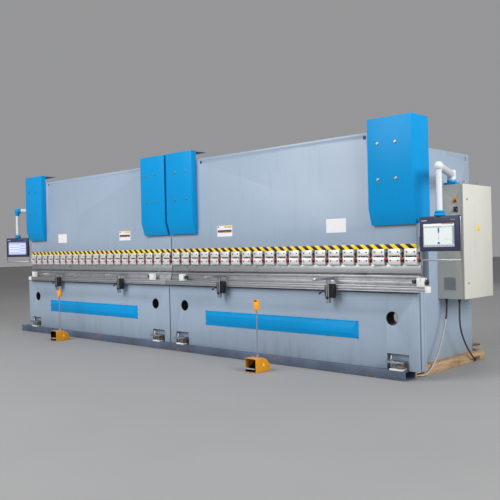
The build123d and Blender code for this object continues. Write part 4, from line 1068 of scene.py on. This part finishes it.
class BRAKE_OT_cabinet(Step):
    """Electrical cabinet: shell, door, grille, locks, sign, buttons and the gear inside"""
    bl_idname = "brake.cabinet"
    bl_label = "Electrical cabinet"

    def build(self):
        refined("cabinet_shell", 0.0018, 2)
        refined("cabinet_door", 0.0018, 2)
        low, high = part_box("cabinet_door")
        face, front = high.x - 0.008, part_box("cabinet_shell")[0].y
        locks = []
        for z in (low.z + 0.180, high.z - 0.168):
            locks.append(turned([(0.0125, 0), (0.013, 0.003), (0.013, 0.006), (0.011, 0.008),
                                 (0.006, 0.008), (0.0055, 0.004)], (face, low.y + 0.090, z),
                                (1, 0, 0), 24))
        done(joined(*locks), "door_locks", "cabinet_door", "steel")
        sign = self.triangle(Vector((face, 1.167, 1.571)), 0.106, 0.086)
        done(sign, "door_sign", "cabinet_door", "cabinet_paint", "yellow_plastic")
        self.fittings()
        self.grille(front)
        self.buttons(front)
        self.gear()

    def triangle(self, place, width, height):
        """A plain raised triangle on the door."""
        tri = turned([(0.5, 0), (0.5, 0.0008), (0.485, 0.0012)], (0, 0, 0), (1, 0, 0), 3)
        low = Vector([min(v.co[i] for v in tri.data.vertices) for i in range(3)])
        high = Vector([max(v.co[i] for v in tri.data.vertices) for i in range(3)])
        if sum(v.co.z > (low.z + high.z) / 2 for v in tri.data.vertices) > len(tri.data.vertices) / 2:
            settled(tri, Matrix.Rotation(pi, 4, "X"))
            low, high = (Vector((low.x, -high.y, -high.z)), Vector((high.x, -low.y, -low.z)))
        scale = Matrix.Diagonal((1, width / (high.y - low.y), height / (high.z - low.z), 1))
        return settled(tri, Matrix.Translation(place) @ scale
                       @ Matrix.Translation((0, -(low.y + high.y) / 2, -low.z)))

    def fittings(self):
        groups = {"lifting_eyes": [], "door_hinges": [], "junction_box": [], "legend_rings": []}
        for part in loose("cabinet_fittings"):
            spot = centre(part)
            if spot.z > 2.1:
                groups["lifting_eyes"].append(part)
            elif spot.y > 1.5:
                groups["door_hinges"].append(part)
            elif spot.z < 0.1:
                groups["junction_box"].append(rounded(part, 0.003, 2))
            elif spot.z > 1.5:
                groups["legend_rings"].append(rounded(part, 0.0008, 1))
            else:
                bpy.data.objects.remove(part)
        lid = groups["junction_box"]
        spots = [vertex.co for part in lid for vertex in part.data.vertices]
        box_low, box_high = (Vector([extreme(spot[i] for spot in spots) for i in range(3)])
                             for extreme in (min, max))
        lid.append(plate((box_low.x + 0.004, box_low.y + 0.004, box_high.z - 0.010),
                         (box_low.x + 0.116, box_high.y - 0.004, box_high.z + 0.0002), 0.002))
        lid += [socket_screw(0.004, (x, y, box_high.z - 0.0012), (0, 0, 1))
                for x in (box_low.x + 0.014, box_low.x + 0.106)
                for y in (box_low.y + 0.014, box_high.y - 0.014)]
        done(joined(*groups["lifting_eyes"]), "lifting_eyes", "frame", "steel", None,
             ["cabinet_fittings"])
        done(joined(*groups["door_hinges"]), "door_hinges", "frame", "steel")
        box = joined(*lid)
        for vertex in box.data.vertices:
            vertex.co.z = max(vertex.co.z, 0.0)
        done(box, "junction_box", "frame", "gear_plastic")
        done(joined(*groups["legend_rings"]), "legend_rings", "frame", "steel")

    def grille(self, front):
        """A louvred vent plate, with a black sheet of painted shadow behind its slats."""
        left, low_z = 3.863, 0.905
        rim = cut(plate((left, front - 0.005, low_z),
                        (left + 0.141, front - 0.0002, low_z + 0.143), 0.002),
                  stock((left + 0.010, front - 0.01, low_z + 0.010),
                        (left + 0.131, front + 0.01, low_z + 0.133)))
        slat = plate((left + 0.009, front - 0.0040, low_z + 0.010),
                     (left + 0.132, front - 0.0028, low_z + 0.022), 0.0004, 1)
        pivot = Vector((0, front - 0.0034, low_z + 0.016))
        settled(slat, Matrix.Translation(pivot) @ Matrix.Rotation(radians(-16), 4, "X")
                @ Matrix.Translation(-pivot))
        slats = row(slat, [(0, 0, 0.0125 * i) for i in range(10)])
        # painted shadow: a black sheet behind the slats stands in for the shade inside the vent
        back = plate((left + 0.008, front - 0.0012, low_z + 0.008),
                     (left + 0.133, front - 0.0002, low_z + 0.135), 0.0003, 1)
        done(joined(rim, slats), "vent_grille", "frame", "steel", "gear_plastic")
        done(back, "vent_shadow", "frame", "black_plastic")

    def buttons(self, front):
        refined("start_button", 0.002, 2, limit=40)
        refined("selector_switch", 0.0012, 2, limit=40)
        for name, node, look in (("start_legend", "start_button", "yellow_plastic"),
                                 ("selector_legend", "selector_switch", "black_plastic")):
            low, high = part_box(node)
            x, z = (low.x + high.x) / 2, (low.z + high.z) / 2
            legend = plate((x - 0.026, front - 0.0022, z - 0.028),
                           (x + 0.026, front - 0.0002, z + 0.034), 0.0008)
            hole = turned([(0.0196, 0), (0.0196, 0.02)], (x, front + 0.01, z), (0, -1, 0), 32)
            done(cut(legend, hole), name, "frame", "black_plastic", look)

    def gear(self):
        plates, ducts, relays, dark = [], [], [], []
        for i, part in enumerate(sorted(loose("cabinet_electrics"), key=lambda p: tuple(centre(p)))):
            spread_y = max(v.co.y for v in part.data.vertices) - min(v.co.y for v in part.data.vertices)
            rounded(part, 0.002, 1)
            if spread_y > 0.5:
                tall = max(v.co.z for v in part.data.vertices) - min(v.co.z for v in part.data.vertices)
                (plates if tall > 0.5 else ducts).append(part)
            elif spread_y < 0.02:
                plates.append(part)
            else:
                (dark if i % 3 == 0 else relays).append(part)
        done(joined(*plates), "mounting_plate", "frame", "steel", None, ["cabinet_electrics"])
        done(joined(*ducts), "wiring_ducts", "frame", "gear_plastic", "duct_plastic")
        done(joined(*relays), "relays_and_drives", "frame", "gear_plastic")
        done(joined(*dark), "contactors", "frame", "black_plastic")


class BRAKE_OT_arms(Step):
    """Swing arms and their bases"""
    bl_idname = "brake.arms"
    bl_label = "Panel arms"

    def build(self):
        refined("arm_bases", 0.003, 3)
        for side in ("right", "left"):
            pivot = Vector(joints[side + "_arm_swing"]["pos_m"])
            end = Vector(joints[side + "_panel_swivel"]["pos_m"])
            z, drop_z = 2.222, 1.746
            pivot.z = end.z = z
            way = (end - pivot).normalized()
            reach = (end - pivot).length
            hub = turned([(0.046, -0.0797), (0.050, -0.076), (0.050, 0.040), (0.046, 0.046),
                          (0.024, 0.049)], pivot, (0, 0, 1), 40)
            ring = turned([(0.046, 0), (0.046, 0.030), (0.041, 0.034)], pivot + way * 0.030, way, 40)
            tube = turned([(0.040, 0), (0.040, reach - 0.062)], pivot, way, 40)
            collar = turned([(0.044, 0), (0.0455, 0.002), (0.0455, 0.030), (0.042, 0.032)],
                            pivot + way * (reach - 0.070), way, 40)
            drop = turned([(0.030, 0), (0.030, z - drop_z)], (end.x, end.y, drop_z), (0, 0, 1), 32)
            foot = turned([(0.044, 0), (0.050, 0.003), (0.050, 0.014), (0.040, 0.022), (0.033, 0.026)],
                          (end.x, end.y, drop_z), (0, 0, 1), 32)
            bolts = [hexagon(0.007, 0.005, pivot + Vector((0.030 * cos(a), 0.030 * sin(a), 0.046)),
                             (0, 0, 1)) for a in (0.4, 2.5, 4.6)]
            if side == "right":
                elbow = ball(0.048, end)
                done(joined(hub, ring, tube, collar, drop, elbow), "right_arm_tube", "right_arm",
                     "arm_paint", None, ["right_arm"])
                done(foot, "right_arm_foot", "right_arm", "cover_paint")
            else:
                elbow = self.mitre(end, way)
                done(joined(hub, ring, tube, drop), "left_arm_tube", "left_arm", "arm_paint", None,
                     ["left_arm"])
                done(joined(elbow, foot, collar), "left_arm_elbow", "left_arm", "cover_paint")
            done(joined(*bolts), side + "_arm_bolts", side + "_arm", "steel")

    def mitre(self, end, way):
        """A cast elbow: two short pipes that meet in a rounded corner."""
        across = turned([(0.044, 0), (0.046, 0.003), (0.046, 0.060), (0.034, 0.094)],
                        end - way * 0.052, way, 32)
        down = turned([(0.036, 0), (0.038, 0.003), (0.040, 0.080)],
                      end - Vector((0, 0, 0.090)), (0, 0, 1), 32)
        return joined(across, down, ball(0.040, end + Vector((0, 0, -0.001))))


class BRAKE_OT_panels(Step):
    """Control panels: case, bezel, display, swivel flange and U handle"""
    bl_idname = "brake.panels"
    bl_label = "Control panels"

    def build(self):
        w, h, d = 0.2275, 0.178, 0.030
        side, top = w - 0.045, h - 0.075
        for name, angle in (("right", -6.0), ("left", 30.0)):
            body = name + "_panel"
            place = Vector(joints[name + "_panel_swivel"]["pos_m"])
            place.z = 1.536
            home = turn_about(place, radians(angle))
            case = rounded(stock((-w, -d, -h), (w, d, h)), sizes().case_edge, 4)
            window = stock((-side, -d - 0.01, -h + 0.045), (side, -d + 0.008, top))
            rib = stock((-w - 0.01, d - 0.022, -h - 0.01), (w + 0.01, d - 0.018, h + 0.01))
            inside = stock((-w + 0.002, d - 0.03, -h + 0.002), (w - 0.002, d - 0.01, h - 0.002))
            groove = cut(rib, inside)
            case = cut(case, window, groove)
            rounded(case, 0.0012, 1, 50)
            done(settled(case, home), name + "_panel_case", body, "panel_case", None, [body])
            frame_tiles = [(-w + 0.022, h - 0.046, -w + 0.092, h - 0.038, 1, (196, 200, 214)),
                           (w - 0.086, h - 0.044, w - 0.030, h - 0.038, 1, (150, 156, 180))]
            trim = print_sheet(frame_tiles, home @ Matrix.Translation((0, -d, 0)))
            done(trim, name + "_panel_marks", body, "panel_case", "printed", (), 0)
            screen = print_sheet([(-side + 0.0008, -h + 0.0458, side - 0.0008, top - 0.0008, 0,
                                   (206, 212, 214) if name == "right" else (196, 204, 240)),
                                  *self.picture(name, side, -h + 0.045, top)],
                                 home @ Matrix.Translation((0, -d + 0.0035, 0)))
            done(screen, name + "_display", body, "screen_glass", None, [name + "_screen"], 0)
            flange = turned([(0.052, 0), (0.059, 0.006), (0.059, 0.018), (0.048, 0.0315)],
                            place + Vector((0, 0, h)), (0, 0, 1), 8 if name == "right" else 32, pi / 8)
            done(rounded(flange, 0.0015, 2), name + "_swivel_flange", body, "cover_paint")
            done(settled(self.handle(w, h), home), name + "_panel_handle", body, "steel")
            vents = [plate((x, d - 0.0004, -0.05), (x + 0.006, d + 0.0003, 0.05), 0.0002, 1)
                     for x in [-0.12 + 0.02 * i for i in range(13)]]
            done(settled(joined(*vents), home), name + "_panel_vents", body, "black_plastic")

    def handle(self, w, h):
        """A flat bar bent to a U round the panel's sides and under it."""
        bar_w = w + 0.014
        arms = [plate((left, -0.004, -h - 0.090), (right, 0.012, h - 0.010), 0.0025, 3)
                for left, right in ((-bar_w, -w), (w, bar_w))]
        grip = plate((-bar_w, -0.004, -h - 0.100), (bar_w, 0.012, -h - 0.082), 0.004, 3)
        screws = [socket_screw(0.005, (s * (bar_w - 0.0046), 0.004, z), (s, 0, 0))
                  for s in (-1, 1) for z in (-0.1, 0.1)]
        return joined(*arms, grip, *screws)

    def picture(self, name, side, low, high):
        """The plain shapes on a display, as tiles; there is no lettering."""
        width, tall = 2 * side, high - low

        def at(x0, y0, x1, y1, color, level=1):
            return (-side + x0 * width, low + y0 * tall, -side + x1 * width, low + y1 * tall,
                    level, color)

        if name == "left":
            tiles = [at(0.01, 0.90, 0.99, 0.98, (120, 132, 190)),
                     at(0.01, 0.02, 0.99, 0.10, (160, 168, 214))]
            for r in range(7):
                tiles.append(at(0.04, 0.16 + r * 0.10, 0.62, 0.22 + r * 0.10,
                                (226, 230, 252) if r % 2 else (170, 180, 226)))
                tiles.append(at(0.66, 0.16 + r * 0.10, 0.94, 0.22 + r * 0.10,
                                (150, 162, 220) if r % 2 else (214, 220, 250)))
            return tiles
        tiles = [at(0.0, 0.90, 1.0, 0.995, (240, 242, 242)), at(0.0, 0.83, 0.93, 0.895, (196, 204, 200)),
                 at(0.93, 0.10, 1.0, 0.90, (176, 184, 192)), at(0.0, 0.0, 1.0, 0.085, (188, 194, 200)),
                 at(0.03, 0.12, 0.92, 0.81, (222, 228, 228)),
                 at(0.475, 0.60, 0.525, 0.82, (36, 90, 176), 2),
                 at(0.497, 0.20, 0.503, 0.60, (60, 90, 130), 2),
                 at(0.465, 0.12, 0.535, 0.20, (30, 82, 164), 2),
                 at(0.66, 0.325, 0.90, 0.335, (140, 160, 150), 2),
                 at(0.66, 0.30, 0.90, 0.306, (170, 184, 178), 2),
                 at(0.60, 0.955, 0.98, 0.985, (200, 40, 50), 2)]
        for i in range(9):
            tiles.append(at(0.05 + i * 0.062, 0.845, 0.075 + i * 0.062, 0.88,
                            (60, 150, 90) if i % 3 else (70, 110, 170), 2))
        for i in range(10):
            tiles.append(at(0.945, 0.14 + i * 0.075, 0.985, 0.18 + i * 0.075, (110, 124, 142), 2))
        for i in range(12):
            tiles.append(at(0.03 + i * 0.08, 0.02, 0.075 + i * 0.08, 0.065, (120, 132, 146), 2))
        return tiles


class BRAKE_OT_pedals(Step):
    """Foot pedals: hood, treadle, pole and stop station"""
    bl_idname = "brake.pedals"
    bl_label = "Foot pedals"

    def build(self):
        refined("pedal_housings", 0.005, 3)
        poles, boxes, signs = [], [], []
        for side in ("left", "right"):
            refined(side + "_treadle", 0.003, 2)
            low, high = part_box(side + "_estop")
            x, y, top = (low.x + high.x) / 2, (low.y + high.y) / 2, high.z + 0.004
            bottom = top - 0.128
            poles.append(turned([(0.008, 0.158), (0.008, bottom + 0.002)], (x, y, 0), (0, 0, 1), 20))
            poles.append(turned([(0.020, 0.158), (0.020, 0.166), (0.014, 0.172), (0.012, 0.190)],
                                (x, y, 0), (0, 0, 1), 24))
            box = turned([(0.016, 0), (0.030, 0.005), (0.033, 0.014), (0.033, 0.036), (0.0315, 0.038),
                          (0.0315, 0.044), (0.033, 0.046), (0.033, 0.094), (0.031, 0.098),
                          (0.031, 0.102)], (x, y, bottom), (0, 0, 1), 36)
            ears = [self.ear(Vector((x, y, bottom + 0.100)), s) for s in (-1, 1)]
            bore = turned([(0.0105, 0), (0.0105, 0.06)], (x, y, bottom + 0.078), (0, 0, 1), 24)
            boxes.append(joined(cut(box, bore), *ears))
            head = turned([(0.010, -0.025), (0.010, 0.002), (0.018, 0.0045), (0.0200, 0.009),
                           (0.0195, 0.0125), (0.0150, 0.0165), (0.0080, 0.0175)],
                          (x, y, high.z - 0.0178), (0, 0, 1), 36)
            done(head, side + "_stop_button", side + "_estop", "red_plastic", None, [side + "_estop"])
            near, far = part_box(side + "_treadle")
            tread = plate((near.x + 0.010, near.y + 0.020, 0.0510),
                          (far.x - 0.010, near.y + 0.0235, 0.0535), 0.0008, 1)
            rows = [duplicate(tread, Matrix.Translation((0, 0.012 * i, 0.0007 * i))) for i in range(9)]
            bpy.data.objects.remove(tread)
            done(joined(*rows), side + "_tread_ribs", side + "_treadle", "black_plastic")
            signs.append(self.sign(x, y))
        done(joined(*boxes), "stop_stations", "frame", "pedal_paint", None, ["estop_posts"])
        done(joined(*poles), "pedal_poles", "frame", "steel", "post_steel")
        done(joined(*signs), "pedal_signs", "frame", "black_plastic", "yellow_plastic")

    def ear(self, place, side):
        """One guard wing beside the stop button."""
        wing = turned([(0.033, 0), (0.033, 0.024), (0.0315, 0.0259)], place, (0, 0, 1), 36)
        left, right = (0.034, 0.0245) if side > 0 else (0.0245, 0.034)
        gap = stock((place.x - left, place.y - 0.05, place.z - 0.001),
                    (place.x + right, place.y + 0.05, place.z + 0.03))
        return cut(wing, gap)

    def sign(self, x, y):
        """A plain triangle on the hood's side."""
        tri = turned([(0.030, 0), (0.030, 0.0006), (0.029, 0.001)], (0, 0, 0), (1, 0, 0), 3)
        turn = Matrix.Rotation(pi, 4, "X") if sum(v.co.z > 0 for v in tri.data.vertices) * 2 > len(
            tri.data.vertices) else Matrix.Identity(4)
        return settled(tri, Matrix.Translation((x + 0.085, y + 0.010, 0.080)) @ turn)


class BRAKE_OT_gauges(Step):
    """Back gauge guides, carriages and beams with rails and rack"""
    bl_idname = "brake.gauges"
    bl_label = "Back gauges"

    def build(self):
        refined("back_gauge_guides", 0.002)
        for side in ("left", "right"):
            refined(side + "_gauge_carriages", 0.003)
            refined(side + "_gauge_beam", 0.0015)
            low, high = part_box(side + "_gauge_beam")
            heads = [socket_screw(0.006, (low.x + 0.06 + i * 0.2, high.y - 0.0005, low.z + 0.045),
                                  (0, 1, 0)) for i in range(15)]
            done(joined(*heads), side + "_gauge_screws", side + "_gauge_lift", "dark_steel")


class BRAKE_OT_plates(Step):
    """Plain plates on the rams; none of them has lettering"""
    bl_idname = "brake.plates"
    bl_label = "Plain plates"

    def build(self):
        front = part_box("right_ram")[0].y
        tiles = {}
        white = (240, 240, 242)
        for side, label, blank in (("right", 0.964, 2.799), ("left", -1.261, -3.063)):
            tiles[side] = [
                (label, 1.593, label + 0.285, 1.737, 0, white),
                (label + 0.010, 1.709, label + 0.038, 1.729, 1, (222, 70, 60)),
                (label + 0.140, 1.707, label + 0.275, 1.731, 1, (240, 196, 60)),
                (label + 0.012, 1.655, label + 0.273, 1.680, 1, (70, 72, 84)),
                (label + 0.012, 1.645, label + 0.273, 1.653, 1, (206, 70, 80)),
                (blank, 1.588, blank + 0.280, 1.748, 0, (226, 160, 164) if side == "left" else white),
                (blank + 0.006, 1.594, blank + 0.274, 1.742, 1, white)]
        for name in ("left", "right"):
            sheet = print_sheet(tiles[name], Matrix.Translation((0, front - 0.0002, 0)), 0.0012)
            done(sheet, name + "_ram_plates", name + "_ram_unit", "machine_paint", "printed", (), 0)


steps = (BRAKE_OT_stage, BRAKE_OT_cords, BRAKE_OT_frames, BRAKE_OT_trim, BRAKE_OT_rams, BRAKE_OT_clamps,
         BRAKE_OT_tooling, BRAKE_OT_covers, BRAKE_OT_hydraulics, BRAKE_OT_rails, BRAKE_OT_supports,
         BRAKE_OT_feet, BRAKE_OT_cabinet, BRAKE_OT_arms, BRAKE_OT_panels, BRAKE_OT_pedals,
         BRAKE_OT_gauges, BRAKE_OT_plates)


class BRAKE_PT_sidebar(bpy.types.Panel):
    """Lists the sizes, the colours and the building steps"""
    bl_idname = "BRAKE_PT_sidebar"
    bl_label = "Press Brake"
    bl_space_type = "VIEW_3D"
    bl_region_type = "UI"
    bl_category = "Press Brake"

    def draw(self, context):
        for group in (context.scene.brake_sizes, context.scene.brake_colours):
            for key in group.bl_rna.properties.keys():
                if key not in ("rna_type", "name"):
                    self.layout.prop(group, key)
        for step in steps:
            self.layout.operator(step.bl_idname)


classes = (BrakeSizes, BrakeColours, *steps, BRAKE_PT_sidebar)


def register():
    for cls in classes:
        bpy.utils.register_class(cls)
    bpy.types.Scene.brake_sizes = PointerProperty(type=BrakeSizes)
    bpy.types.Scene.brake_colours = PointerProperty(type=BrakeColours)


def unregister():
    del bpy.types.Scene.brake_colours
    del bpy.types.Scene.brake_sizes
    for cls in reversed(classes):
        bpy.utils.unregister_class(cls)


def main():
    register()
    mix_finishes()
    for step in steps:
        group, name = step.bl_idname.split(".")
        getattr(getattr(bpy.ops, group), name)()


if __name__ == "__main__":
    main()
